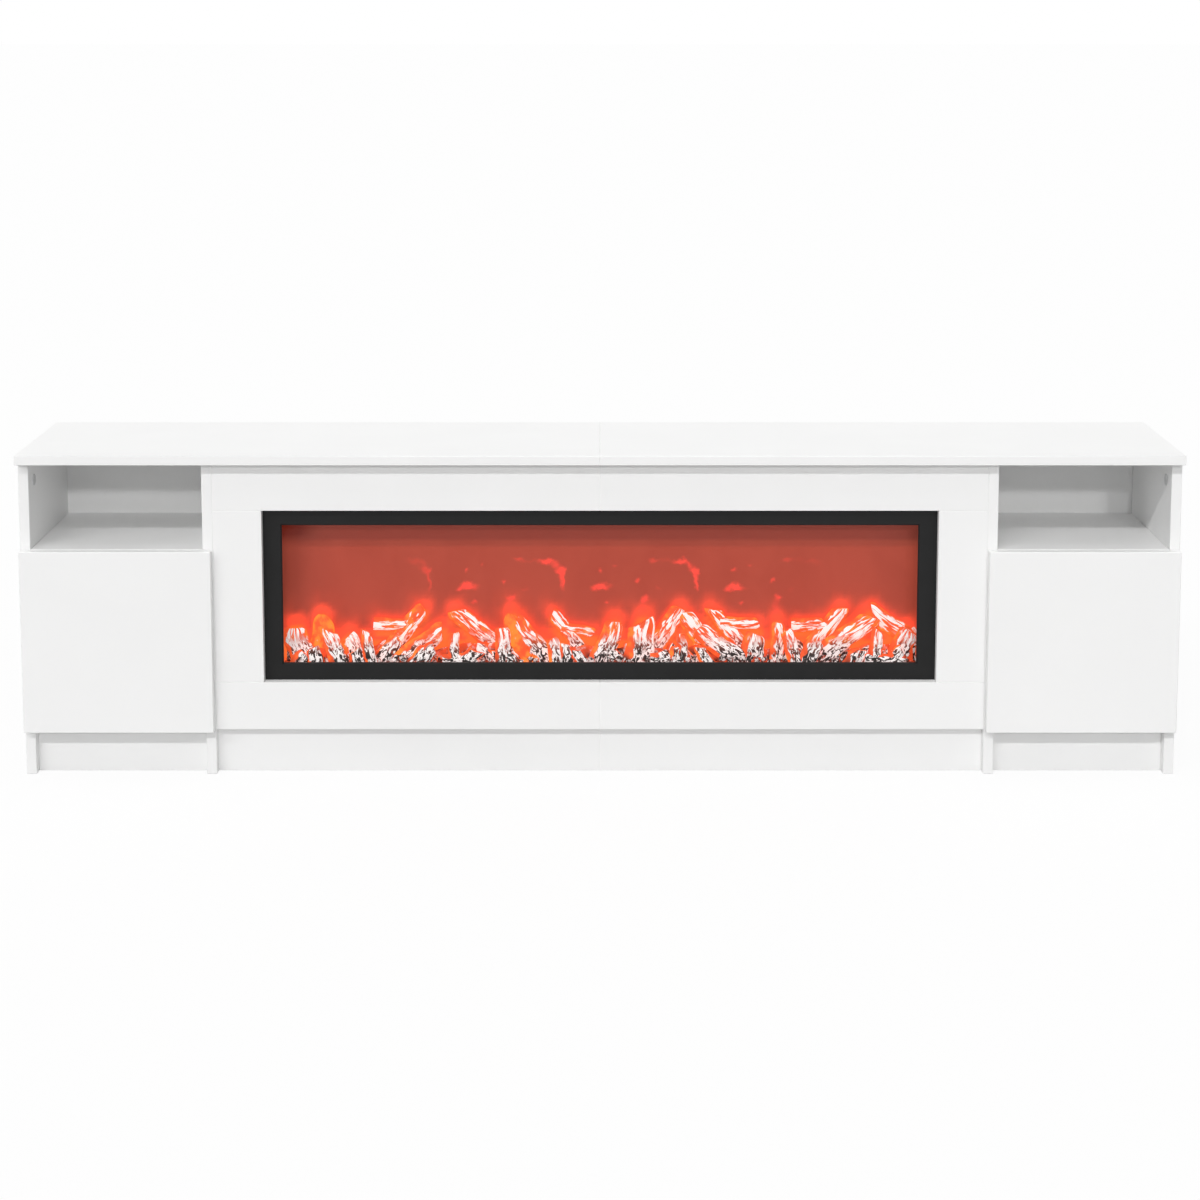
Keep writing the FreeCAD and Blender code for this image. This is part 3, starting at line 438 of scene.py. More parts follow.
@dataclass(frozen=True)
class Circuit(Finish):
    """Solder mask with copper tracks showing through."""

    mask: Colour
    track: Colour
    cells: float = 110.0

    def material(self) -> bpy.types.Material:
        """Make the material.

        Returns:
            The material.
        """
        graph = self.graph()
        cells = {"Vector": graph.place(), "Scale": self.cells, "Randomness": 0.7}
        edge = graph.node("ShaderNodeTexVoronoi", cells, feature="DISTANCE_TO_EDGE").outputs["Distance"]
        tracks = graph.span(edge, 0.04, 0.09, 1.0, 0.0)
        colour = graph.blend(tracks, self.mask, self.track)
        return graph.surface(
            graph.principled({"Base Color": colour, "Roughness": 0.35, "Normal": graph.bump(tracks, 0.3)})
        )


@dataclass(frozen=True)
class Glass(Finish):
    """Thin clear pane that lamps shine through, with a faint film of dust."""

    sheen: float
    dust: float = 30.0
    clear: Colour = (0.97, 0.975, 0.97)
    mirror: Colour = (0.9, 0.92, 0.92)

    def material(self) -> bpy.types.Material:
        """Make the material.

        Returns:
            The material.
        """
        graph = self.graph()
        rough = graph.span(graph.noise(graph.place(), self.dust, 5.0), 0.4, 0.7, 0.01, 0.06)
        clear = graph.node("ShaderNodeBsdfTransparent", {"Color": (*self.clear, 1.0)}).outputs[0]
        gloss = graph.principled({"Base Color": (*self.mirror, 1.0), "Metallic": 1.0, "Roughness": rough})
        facing = graph.node("ShaderNodeLayerWeight", {"Blend": 0.5}).outputs["Facing"]
        share = graph.span(facing, 0.1, 1.0, 0.0, self.sheen)
        return graph.surface(graph.node("ShaderNodeMixShader", {0: share, 1: clear, 2: gloss}).outputs[0])


@dataclass(frozen=True)
class Bark(Finish):
    """Cast resin log: white ash ridges over black char, with embers glowing through its flanks and painted
    light on its ash ridges.
    """

    ash: Colour
    scorch: Colour
    glow: Colour
    hot: Colour
    strength: float
    # Strength of the painted light that brightens the ash ridges.
    bloom: float
    char: Colour = (0.040, 0.034, 0.034)
    # Colour of the painted light on the ash ridges.
    lit_ash: Colour = (1.0, 0.86, 0.86)
    grain: float = 175.0
    worm_lie: Stretch = (1.0, 0.5, 1.0)
    streak_lie: Stretch = (1.0, 0.2, 1.0)
    patch: float = 60.0
    relief: float = 0.002

    def ridges(self, graph: Graph, grain: Socket, low: Socket) -> Socket:
        """Lines of ash: winding near the bed, long streaks further up.

        Args:
            graph: The material's nodes.
            grain: Place along the log's own grain.
            low: How near to the bed, from 0 to 1.

        Returns:
            The lines, 1 where ash may lie.
        """
        worm = graph.noise(graph.vector("MULTIPLY", grain, self.worm_lie), self.grain, 2.0, 1.3)
        streak = graph.noise(graph.vector("MULTIPLY", grain, self.streak_lie), self.grain, 2.0, 0.6)
        winding = graph.span(graph.math("MULTIPLY_ADD", low, -0.05, worm), 0.42, 0.49)
        return graph.mix(graph.span(low, 0.4, 0.75), graph.span(streak, 0.47, 0.55), winding)

    def material(self) -> bpy.types.Material:
        """Make the material.

        Returns:
            The material.
        """
        graph = self.graph()
        grain = graph.attribute("grain", "Vector")
        ember, low = graph.attribute("ember"), graph.attribute("low")
        patch = graph.noise(grain, self.patch, 3.0)
        line = self.ridges(graph, grain, low)
        cover = graph.math("MULTIPLY_ADD", patch, 1.5, graph.attribute("ash"))
        cover = graph.math("MULTIPLY_ADD", graph.attribute("groove"), -0.2, cover)
        cover = graph.span(cover, 1.22, 1.58)
        ridge = graph.math("MULTIPLY", cover, line)
        seam = graph.math("SUBTRACT", 1.0, graph.math("MULTIPLY", cover, graph.span(low, 0.35, 0.85)))
        warm = graph.math("MULTIPLY", ember, seam)
        warm = graph.math("MULTIPLY", warm, graph.span(patch, 0.3, 0.6, 0.75, 1.0))
        colour = graph.blend(graph.span(warm, 0.1, 0.6), self.char, self.scorch)
        heat = graph.span(graph.math("MULTIPLY", ember, patch), 0.38, 0.62)
        light = graph.blend(heat, self.glow, self.hot)
        flank = graph.math("MULTIPLY", warm, self.strength)
        shader = graph.principled(
            {
                "Base Color": graph.blend(ridge, colour, self.ash),
                "Roughness": 0.8,
                "Normal": graph.bump(graph.math("MULTIPLY_ADD", line, 0.4, patch), 0.5, self.relief),
                # Painted light: the ash ridges glow pale, standing in for light that the frame and the glass
                # keep off.
                "Emission Color": graph.blend(ridge, light, self.lit_ash),
                "Emission Strength": graph.mix(ridge, flank, self.bloom),
            }
        )
        return graph.surface(shader)


@dataclass(frozen=True)
class Lick:
    """One lick of flame: its place and half sizes in metres, and its brightness."""

    x: float
    z: float
    wide: float
    high: float
    gain: float


LICKS = (
    Lick(0.003, 0.2803, 0.0155, 0.0055, 0.85),
    Lick(0.002, 0.2850, 0.0070, 0.0060, 0.55),
    Lick(-0.010, 0.2765, 0.0060, 0.0035, 0.45),
    Lick(0.000, 0.3089, 0.0045, 0.0050, 0.6),
    Lick(0.0125, 0.2565, 0.0060, 0.0040, 0.6),
    Lick(0.0610, 0.2898, 0.0042, 0.0055, 0.65),
    Lick(0.0715, 0.2629, 0.0070, 0.0065, 0.75),
    Lick(0.0680, 0.2454, 0.0095, 0.0130, 0.5),
    Lick(0.0850, 0.3248, 0.0110, 0.0045, 0.5),
    Lick(0.1050, 0.3235, 0.0090, 0.0040, 0.25),
    Lick(0.1285, 0.3225, 0.0120, 0.0050, 0.95),
    Lick(0.1420, 0.3165, 0.0065, 0.0050, 0.55),
    Lick(0.1490, 0.3073, 0.0095, 0.0060, 0.9),
    Lick(0.1520, 0.2970, 0.0045, 0.0080, 0.6),
    Lick(0.1545, 0.2850, 0.0034, 0.0120, 0.7),
    Lick(0.1640, 0.2560, 0.0040, 0.0140, 0.45),
    Lick(0.0250, 0.3169, 0.0050, 0.0040, 0.4),
    Lick(0.0920, 0.2780, 0.0080, 0.0050, 0.3),
)


@dataclass(frozen=True)
class Flames(Finish):
    """Back-lit screen: dull red film, bright licks of flame, a glow that follows the logs, painted shade in
    its upper left corner and a painted shadow of the frame along its top.
    """

    film: Colour
    light: Colour
    lick: Colour
    halo: Colour
    core: Colour
    # Colour of the painted shadow that the frame's top edge casts along the top of the screen.
    veil: Colour
    # Glow of the screen in the painted shade of its upper left corner and left end.
    gloom: Colour
    licks: tuple[Lick, ...] = LICKS
    pitch: float = 0.2125
    origin: float = -0.002
    warp: float = 75.0
    drift: Stretch = (0.017, 0.0, 0.018)
    middle: float = 0.02
    fade: Span = (0.24, 0.34)
    cloud: float = 16.0
    cloud_lie: Stretch = (1.0, 1.0, 0.6)
    dull: float = 0.86
    # How dark the film is under the painted shade of the upper left corner.
    dim_film: float = 0.35

    def flicker(self, graph: Graph, place: Socket) -> Socket:
        """Licks of flame, repeated along the screen and faded towards its ends.

        Args:
            graph: The material's nodes.
            place: Place on the screen.

        Returns:
            Brightness of the licks, from 0 to 1.
        """
        values = {"Vector": place, "Scale": self.warp, "Detail": 3.0}
        warp = graph.node("ShaderNodeTexNoise", values).outputs["Color"]
        shift = graph.vector("SUBTRACT", warp, (0.5, 0.5, 0.5))
        moved = graph.vector("MULTIPLY_ADD", shift, self.drift, place)
        parts = graph.node("ShaderNodeSeparateXYZ", {0: moved}).outputs
        start = self.origin - self.pitch / 4
        across = graph.math("WRAP", parts["X"], start + self.pitch, start)
        wrapped = graph.node("ShaderNodeCombineXYZ", {"X": across, "Z": parts["Z"]}).outputs[0]
        total: Any = 0.0
        for lick in self.licks:
            scale = (1.0 / lick.wide, 0.0, 1.0 / lick.high)
            offset = (-lick.x / lick.wide, 0.0, -lick.z / lick.high)
            near = graph.vector("MULTIPLY_ADD", wrapped, scale, offset)
            dot = graph.node("ShaderNodeVectorMath", {0: near, 1: near}, operation="DOT_PRODUCT")
            spot = graph.math("POWER", math.exp(-1.0), dot.outputs["Value"])
            total = graph.math("MULTIPLY_ADD", spot, lick.gain, total)
        away = graph.math("ABSOLUTE", graph.math("SUBTRACT", parts["X"], self.middle))
        return graph.math("MULTIPLY", graph.span(total, 0.08, 1.15), graph.span(away, *self.fade, 1.0, 0.0))

    def material(self) -> bpy.types.Material:
        """Make the material.

        Returns:
            The material.
        """
        graph = self.graph()
        place = graph.place()
        # Painted shade towards the upper left corner and along the left end: darker glow and darker film.
        dim = graph.attribute("dim")
        cloud = graph.noise(graph.vector("MULTIPLY", place, self.cloud_lie), self.cloud, 4.0, 0.5)
        base = graph.blend(graph.span(cloud, *PATCHES), shade(self.light, self.dull), self.light)
        base = graph.blend(dim, base, self.gloom)
        # Painted shadow of the frame's top edge: a darker band along the top of the screen.
        base = graph.blend(graph.attribute("veil"), base, self.veil)
        near = graph.blend(graph.attribute("core"), self.halo, self.core)
        glow = graph.blend(graph.attribute("halo"), base, near)
        shader = graph.principled(
            {
                # Painted shade darkens the film in the upper left corner.
                "Base Color": graph.blend(dim, self.film, shade(self.film, self.dim_film)),
                "Roughness": 0.5,
                "Emission Color": graph.blend(self.flicker(graph, place), glow, self.lick),
                "Emission Strength": 1.0,
            }
        )
        return graph.surface(shader)


class Finishes:
    """All finishes of the part, made once and handed out by slot."""

    def __init__(self) -> None:
        """Make every material."""
        finishes = (
            Laminate(Slot.WHITE, (0.955, 0.955, 0.951)),
            Hardboard(Slot.BACKING, (0.95, 0.95, 0.946), (0.27, 0.165, 0.085)),
            Beech(Slot.BEECH, (0.56, 0.36, 0.20)),
            Metal(Slot.ZINC, (0.33, 0.335, 0.34), 0.42),
            Metal(Slot.NICKEL, (0.62, 0.60, 0.57), 0.24),
            Metal(Slot.BRASS, (0.72, 0.50, 0.20), 0.25),
            Plastic(Slot.GREY_PLASTIC, (0.58, 0.585, 0.59), 0.5),
            Plastic(Slot.BLACK_PLASTIC, (0.022, 0.022, 0.023), 0.45),
            Plastic(Slot.ROCKER, (0.03, 0.03, 0.032), 0.3),
            Plastic(Slot.STEEL, (0.018, 0.018, 0.019), 0.55, grain=900.0, relief=0.35),
            Plastic(Slot.FRAME, (0.004, 0.004, 0.0042), 0.52, grain=1600.0, relief=0.15, shine=0.26),
            Glass(Slot.GLASS, sheen=0.32),
            Bark(
                Slot.EMBER,
                ash=(0.88, 0.82, 0.82),
                scorch=(0.36, 0.04, 0.014),
                glow=(1.0, 0.105, 0.03),
                hot=(1.0, 0.24, 0.03),
                strength=0.9,
                # The last value is the strength of the painted light on the ash ridges.
                bloom=0.06,
            ),
            Bark(
                Slot.LOG,
                ash=(0.95, 0.91, 0.91),
                scorch=(0.40, 0.045, 0.015),
                glow=(1.0, 0.115, 0.03),
                hot=(1.0, 0.25, 0.03),
                strength=1.05,
                # The last value is the strength of the painted light on the ash ridges.
                bloom=0.34,
            ),
            Flames(
                Slot.FLAME,
                film=(0.32, 0.02, 0.004),
                light=(0.205, 0.043, 0.027),
                lick=(1.0, 0.06, 0.045),
                halo=(1.0, 0.080, 0.036),
                core=(1.0, 0.15, 0.03),
                # Painted shadow of the frame's top edge along the top of the screen.
                veil=(0.115, 0.028, 0.020),
                # Glow in the painted shade of the screen's upper left corner.
                gloom=(0.10, 0.008, 0.003),
            ),
            Metal(Slot.FOIL, (0.80, 0.80, 0.80), 0.16, lines=(14.0, 1.0, 1.0)),
            Circuit(Slot.CIRCUIT, (0.62, 0.64, 0.62), (0.75, 0.72, 0.62)),
        )
        self.materials = {finish.slot: finish.material() for finish in finishes}

    def paint(self, obj: bpy.types.Object, slot: Slot) -> None:
        """Give an object the finish of a slot."""
        obj.data.materials.clear()
        obj.data.materials.append(self.materials[slot])


@dataclass
class MeshDraft:
    """Corners and faces of a mesh in the making, with the values its material reads."""

    corners: list[Vector] = field(default_factory=list)
    faces: list[tuple[int, ...]] = field(default_factory=list)
    values: dict[str, list[float]] = field(default_factory=dict)
    grain: list[Vector] = field(default_factory=list)

    def corner(self, place: Vector, grain: Vector | None = None, **values: float) -> int:
        """Add one corner.

        Args:
            place: Where it is.
            grain: Its place in the material's own pattern.
            values: Its other values.

        Returns:
            The corner's number.
        """
        self.corners.append(place)
        if grain is not None:
            self.grain.append(grain)
        for key, value in values.items():
            self.values.setdefault(key, []).append(value)
        return len(self.corners) - 1

    def band(self, near: Sequence[int], far: Sequence[int]) -> None:
        """Join two rings with faces.

        Args:
            near: Corners of the first ring.
            far: Corners of the second ring, as many.
        """
        for step in range(len(near)):
            after = (step + 1) % len(near)
            self.faces.append((near[step], near[after], far[after], far[step]))

    def tube(self, rings: Sequence[Sequence[int]]) -> None:
        """Join rings with faces and close both ends.

        Args:
            rings: The rings, each with the same count of corners.
        """
        for near, far in zip(rings, rings[1:]):
            self.band(near, far)
        self.faces += [tuple(reversed(rings[0])), tuple(rings[-1])]

    def sheet(self, lines: Sequence[list[int]], flip: bool = False) -> None:
        """Join the lines of a grid with faces.

        Args:
            lines: The lines, each with the same count of corners.
            flip: Whether the faces look the other way.
        """
        for near, far in zip(lines, lines[1:]):
            for column in range(len(near) - 1):
                quad = (near[column], near[column + 1], far[column + 1], far[column])
                self.faces.append(quad[::-1] if flip else quad)

    def build(self, name: str, smooth: bool = True) -> bpy.types.Object:
        """Make the object.

        Args:
            name: Its name.
            smooth: Whether its faces are shaded smooth.

        Returns:
            The new object.
        """
        mesh = bpy.data.meshes.new(name)
        mesh.from_pydata([tuple(place) for place in self.corners], [], self.faces)
        for key, values in self.values.items():
            mesh.attributes.new(key, "FLOAT", "POINT").data.foreach_set("value", values)
        if self.grain:
            flat = [part for place in self.grain for part in place]
            mesh.attributes.new("grain", "FLOAT_VECTOR", "POINT").data.foreach_set("vector", flat)
        mesh.polygons.foreach_set("use_smooth", [smooth] * len(mesh.polygons))
        mesh.update()
        return add_object(name, mesh)


def settle(
    obj: bpy.types.Object, body: Body, slot: Slot, finishes: Finishes, *nodes: str
) -> bpy.types.Object:
    """Finish a new piece: its finish, its slot, the nodes it stands for and the body it rides on.

    Args:
        obj: The piece.
        body: The body.
        slot: The slot.
        finishes: The finishes.
        nodes: CAD nodes that it replaces.

    Returns:
        The piece.
    """
    finishes.paint(obj, slot)
    if nodes:
        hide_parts(*nodes)
    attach(obj, body.value)
    return obj


@dataclass
class Assembly:
    """Sub-assembly of the part, with new pieces to build and CAD nodes to dress."""

    finishes: Finishes

    def nodes(self) -> dict[Slot, list[str]]:
        """CAD nodes of the sub-assembly by their finish."""
        return {}

    def dress(self) -> list[str]:
        """Paint the CAD nodes.

        Returns:
            Names of the nodes.
        """
        painted = []
        for slot, names in self.nodes().items():
            for name in names:
                self.finishes.paint(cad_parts[name], slot)
                painted.append(name)
        return painted


@dataclass
class Carcass(Assembly):
    """Boards of the cabinet and the fittings that hold them."""

    cap_diameter: float = 0.0185
    cap_height: float = 0.0012
    cap_steps: int = 40
    cap_profile: tuple[Span, ...] = (
        (1.0, 0.0),
        (1.0, 0.5),
        (0.94, 0.85),
        (0.8, 1.0),
        (0.5, 1.0),
        (0.3, 1.0),
        (0.14, 1.0),
    )
    slot_half: float = 0.16
    slot_end: float = 0.7
    slot_depth: float = 0.7
    cam_drop: float = 0.034
    cam_setback: float = 0.037
    edge_round: float = 0.0004
    edge_angle: float = 40.0
    weld: float = 0.00001

    def build(self) -> list[bpy.types.Object]:
        """Add the cover caps on the two cam locks that face the open bays.

        Returns:
            The caps.
        """
        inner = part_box("side_panel_left")[1][0]
        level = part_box("top_panel_left")[0][2] - self.cam_drop
        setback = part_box("side_panel_left")[0][1] + self.cam_setback
        caps = []
        for side in Side:
            middle = Vector((-inner * side.value, setback, level))
            cap = self.cap(f"cam_cap_{side.word}", middle, Vector((-side.value, 0.0, 0.0)))
            caps.append(settle(cap, Body.CABINET, Slot.GREY_PLASTIC, self.finishes))
        return caps

    def cap(self, name: str, middle: Vector, way: Vector) -> bpy.types.Object:
        """One domed cover cap with a screwdriver slot moulded in.

        Args:
            name: Its name.
            middle: Middle of its rear face.
            way: The way it faces.

        Returns:
            The cap.
        """
        draft = MeshDraft()
        radius = self.cap_diameter / 2
        rings = []
        for share, rise in self.cap_profile:
            ring = []
            for angle, out in around(way.cross(UP).normalized(), UP, self.cap_steps):
                slot = abs(math.sin(angle)) * share < self.slot_half and share < self.slot_end
                height = self.cap_height * (rise - (self.slot_depth if slot else 0.0))
                ring.append(draft.corner(middle + out * (radius * share) + way * height))
            rings.append(ring)
        draft.tube(rings)
        return draft.build(name)

    def soften(self, names: Iterable[str]) -> None:
        """Round the edges of boards slightly, as their edge banding does.

        Args:
            names: Nodes of the boards.
        """
        for name in names:
            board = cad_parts[name]
            weld = board.modifiers.new("joined_faces", "WELD")
            weld.merge_threshold = self.weld
            bevel = board.modifiers.new("edge_banding", "BEVEL")
            bevel.width = self.edge_round
            bevel.segments = 2
            bevel.limit_method = "ANGLE"
            bevel.angle_limit = math.radians(self.edge_angle)
            bevel.use_clamp_overlap = False

    def nodes(self) -> dict[Slot, list[str]]:
        """CAD nodes of the boards and fittings by their finish.

        Returns:
            Names of the nodes for each slot.
        """
        stems = (
            "top_panel",
            "side_panel",
            "divider",
            "shelf",
            "cupboard_floor",
            "plinth",
            "hearth_deck",
            "centre_plinth",
            "fascia_top_rail",
            "fascia_bottom_rail",
            "fascia_stile",
            "rear_rail",
            "door",
        )
        boards = ["centre_support", "centre_foot"]
        return {
            Slot.WHITE: boards + [name for stem in stems for name in pair(stem)],
            Slot.BACKING: pair("back_panel"),
            Slot.ZINC: ["cam_locks", "cam_bolts", "corner_brackets", "joining_plates"],
            Slot.BEECH: ["dowels"],
        }

    def dress(self) -> list[str]:
        """Soften the boards and paint all nodes."""
        self.soften(self.nodes()[Slot.WHITE])
        return super().dress()


@dataclass
class Fasteners(Assembly):
    """Cross-headed screws of the hinges and the rear cover, and the finish of hinges and latches."""

    head: float = 0.0072
    rise: float = 0.0016
    steps: int = 32
    profile: tuple[float, ...] = (1.0, 0.97, 0.86, 0.68, 0.5, 0.3, 0.12)
    cross_half: float = 0.13
    cross_end: float = 0.6
    cross_depth: float = 0.75
    hinge_levels: Span = (0.128, 0.304)
    plate_step: float = 0.002
    plate_y: float = -0.089
    plate_pitch: float = 0.0165
    cup_x: float = 0.878
    cup_y: float = -0.129
    cup_pitch: float = 0.0235
    cover_shares: tuple[float, ...] = (0.012, 0.2, 0.4, 0.6, 0.8, 0.988)
    cover_inset: float = 0.008

    def screw(self, draft: MeshDraft, middle: Vector, way: Vector) -> None:
        """One pan head with a cross recess.

        Args:
            draft: Mesh to add it to.
            middle: Middle of its seat.
            way: The way it faces.
        """
        first = way.orthogonal().normalized()
        radius = self.head / 2
        rings = []
        for share in self.profile:
            ring = []
            for angle, out in around(first, way.cross(first), self.steps):
                arm = min(abs(math.cos(angle)), abs(math.sin(angle))) * share
                dip = self.cross_depth if arm < self.cross_half and share < self.cross_end else 0.0
                dome = math.sqrt(1.0 - share * share) - dip * (1.0 - share)
                ring.append(draft.corner(middle + out * (radius * share) + way * (self.rise * dome)))
            rings.append(ring)
        draft.tube(rings)

    def build(self) -> list[bpy.types.Object]:
        """Add the screws.

        Returns:
            The screws of each hinge half and of the cover.
        """
        pieces = []
        face = abs(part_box("hinge_plates")[0][0]) - self.plate_step
        for side, door in zip(Side, (Body.LEFT_DOOR, Body.RIGHT_DOOR)):
            fixed, moving = MeshDraft(), MeshDraft()
            inward = Vector((-side.value, 0, 0))
            for level in self.hinge_levels:
                for sign in (-1, 1):
                    height = level + sign * self.plate_pitch
                    self.screw(fixed, Vector((side.value * face, self.plate_y, height)), inward)
                for sign in (-1, 1):
                    height = level + sign * self.cup_pitch
                    self.screw(moving, Vector((side.value * self.cup_x, self.cup_y, height)), BACK)
            plate_screws = fixed.build(f"plate_screws_{side.word}")
            pieces.append(settle(plate_screws, Body.CABINET, Slot.NICKEL, self.finishes))
            cup_screws = moving.build(f"cup_screws_{side.word}")
            pieces.append(settle(cup_screws, door, Slot.NICKEL, self.finishes))
        low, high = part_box("firebox_back")
        rear = MeshDraft()
        for share in self.cover_shares:
            x = low[0] + (high[0] - low[0]) * share
            for level in (low[2] + self.cover_inset, high[2] - self.cover_inset):
                self.screw(rear, Vector((x, high[1], level)), BACK)
        return [*pieces, settle(rear.build("cover_screws"), Body.CABINET, Slot.ZINC, self.finishes)]

    def nodes(self) -> dict[Slot, list[str]]:
        """CAD nodes of the hinges and latches by their finish.

        Returns:
            Names of the nodes for each slot.
        """
        return {
            Slot.NICKEL: ["hinge_plates", "hinge_arms", *pair("hinge_cups")],
            Slot.GREY_PLASTIC: ["latch_housings", *pair("latch_plunger")],
        }


class Burn(Enum):
    """How far a log has burned: length and depth of its rounded tip, and its share of ash."""

    PLAIN = (0.45, 0.5, 1.0)
    HOT = (1.0, 0.9, 0.3)


@dataclass(frozen=True)
class LogShape:
    """One log as shares of the window's width and of the logs' rise, and how hot it glows."""

    foot_x: float
    tip_x: float
    foot_z: float
    tip_z: float
    girth: float
    heat: float

    @property
    def burn(self) -> Burn:
        """How far the log has burned."""
        return Burn.HOT if self.heat > 0.85 else Burn.PLAIN


BACK_LOGS = (
    LogShape(0.055, 0.055, 0.0, 0.88, 1.05, 0.9),
    LogShape(0.150, 0.218, 0.0, 1.0, 0.80, 0.5),
    LogShape(0.146, 0.192, 0.70, 0.66, 0.58, 0.35),
    LogShape(0.358, 0.268, 0.0, 0.95, 0.90, 0.4),
    LogShape(0.478, 0.424, 0.0, 0.90, 0.66, 0.5),
    LogShape(0.446, 0.490, 0.60, 0.52, 0.48, 0.6),
    LogShape(0.570, 0.628, 0.0, 1.0, 0.85, 0.4),
    LogShape(0.690, 0.631, 0.0, 0.92, 0.90, 0.75),
    LogShape(0.745, 0.678, 0.0, 0.98, 0.72, 0.4),
    LogShape(0.700, 0.754, 0.72, 0.70, 0.56, 0.35),
    LogShape(0.826, 0.886, 0.0, 1.0, 0.80, 0.6),
    LogShape(0.814, 0.864, 0.68, 0.69, 0.62, 0.35),
    LogShape(0.990, 0.992, 0.0, 0.55, 1.00, 0.3),
    LogShape(1.000, 0.935, 0.34, 0.96, 0.92, 0.4),
)
MIDDLE_LOGS = (
    LogShape(0.026, 0.013, 0.0, 0.66, 1.25, 0.3),
    LogShape(0.109, 0.099, 0.0, 0.50, 0.92, 0.6),
    LogShape(0.150, 0.178, 0.0, 0.46, 0.80, 0.6),
    LogShape(0.180, 0.248, 0.0, 0.62, 0.98, 0.6),
    LogShape(0.379, 0.358, 0.0, 0.94, 0.86, 0.9),
    LogShape(0.413, 0.366, 0.0, 0.79, 0.98, 0.45),
    LogShape(0.500, 0.525, 0.0, 0.78, 1.00, 0.5),
    LogShape(0.560, 0.570, 0.0, 0.80, 1.30, 0.35),
    LogShape(0.722, 0.658, 0.0, 0.66, 1.00, 0.6),
    LogShape(0.740, 0.745, 0.0, 0.55, 1.10, 0.35),
    LogShape(0.782, 0.784, 0.0, 0.77, 0.66, 0.5),
    LogShape(0.850, 0.932, 0.0, 0.90, 1.05, 0.6),
    LogShape(0.972, 0.990, 0.0, 0.62, 1.05, 0.3),
)
FRONT_LOGS = (
    LogShape(0.088, 0.066, 0.0, 0.68, 0.86, 0.5),
    LogShape(0.114, 0.113, 0.0, 0.28, 0.75, 0.3),
    LogShape(0.138, 0.126, 0.0, 0.66, 0.54, 0.3),
    LogShape(0.205, 0.224, 0.0, 0.30, 0.74, 0.6),
    LogShape(0.267, 0.270, 0.0, 0.62, 0.54, 0.4),
    LogShape(0.258, 0.304, 0.06, 0.09, 0.62, 0.2),
    LogShape(0.347, 0.345, 0.0, 0.72, 0.80, 0.3),
    LogShape(0.431, 0.424, 0.0, 0.50, 0.66, 0.5),
    LogShape(0.447, 0.444, 0.0, 0.40, 0.66, 0.3),
    LogShape(0.634, 0.627, 0.0, 0.60, 0.54, 0.3),
    LogShape(0.588, 0.642, 0.07, 0.09, 0.62, 0.2),
    LogShape(0.672, 0.656, 0.0, 0.32, 0.60, 0.4),
    LogShape(0.812, 0.797, 0.0, 0.66, 0.68, 0.7),
    LogShape(0.825, 0.848, 0.0, 0.56, 0.86, 0.3),
    LogShape(0.899, 0.914, 0.0, 0.27, 0.80, 0.4),
    LogShape(0.938, 0.941, 0.0, 0.68, 0.62, 0.3),
    LogShape(0.928, 0.984, 0.08, 0.07, 0.62, 0.2),
)


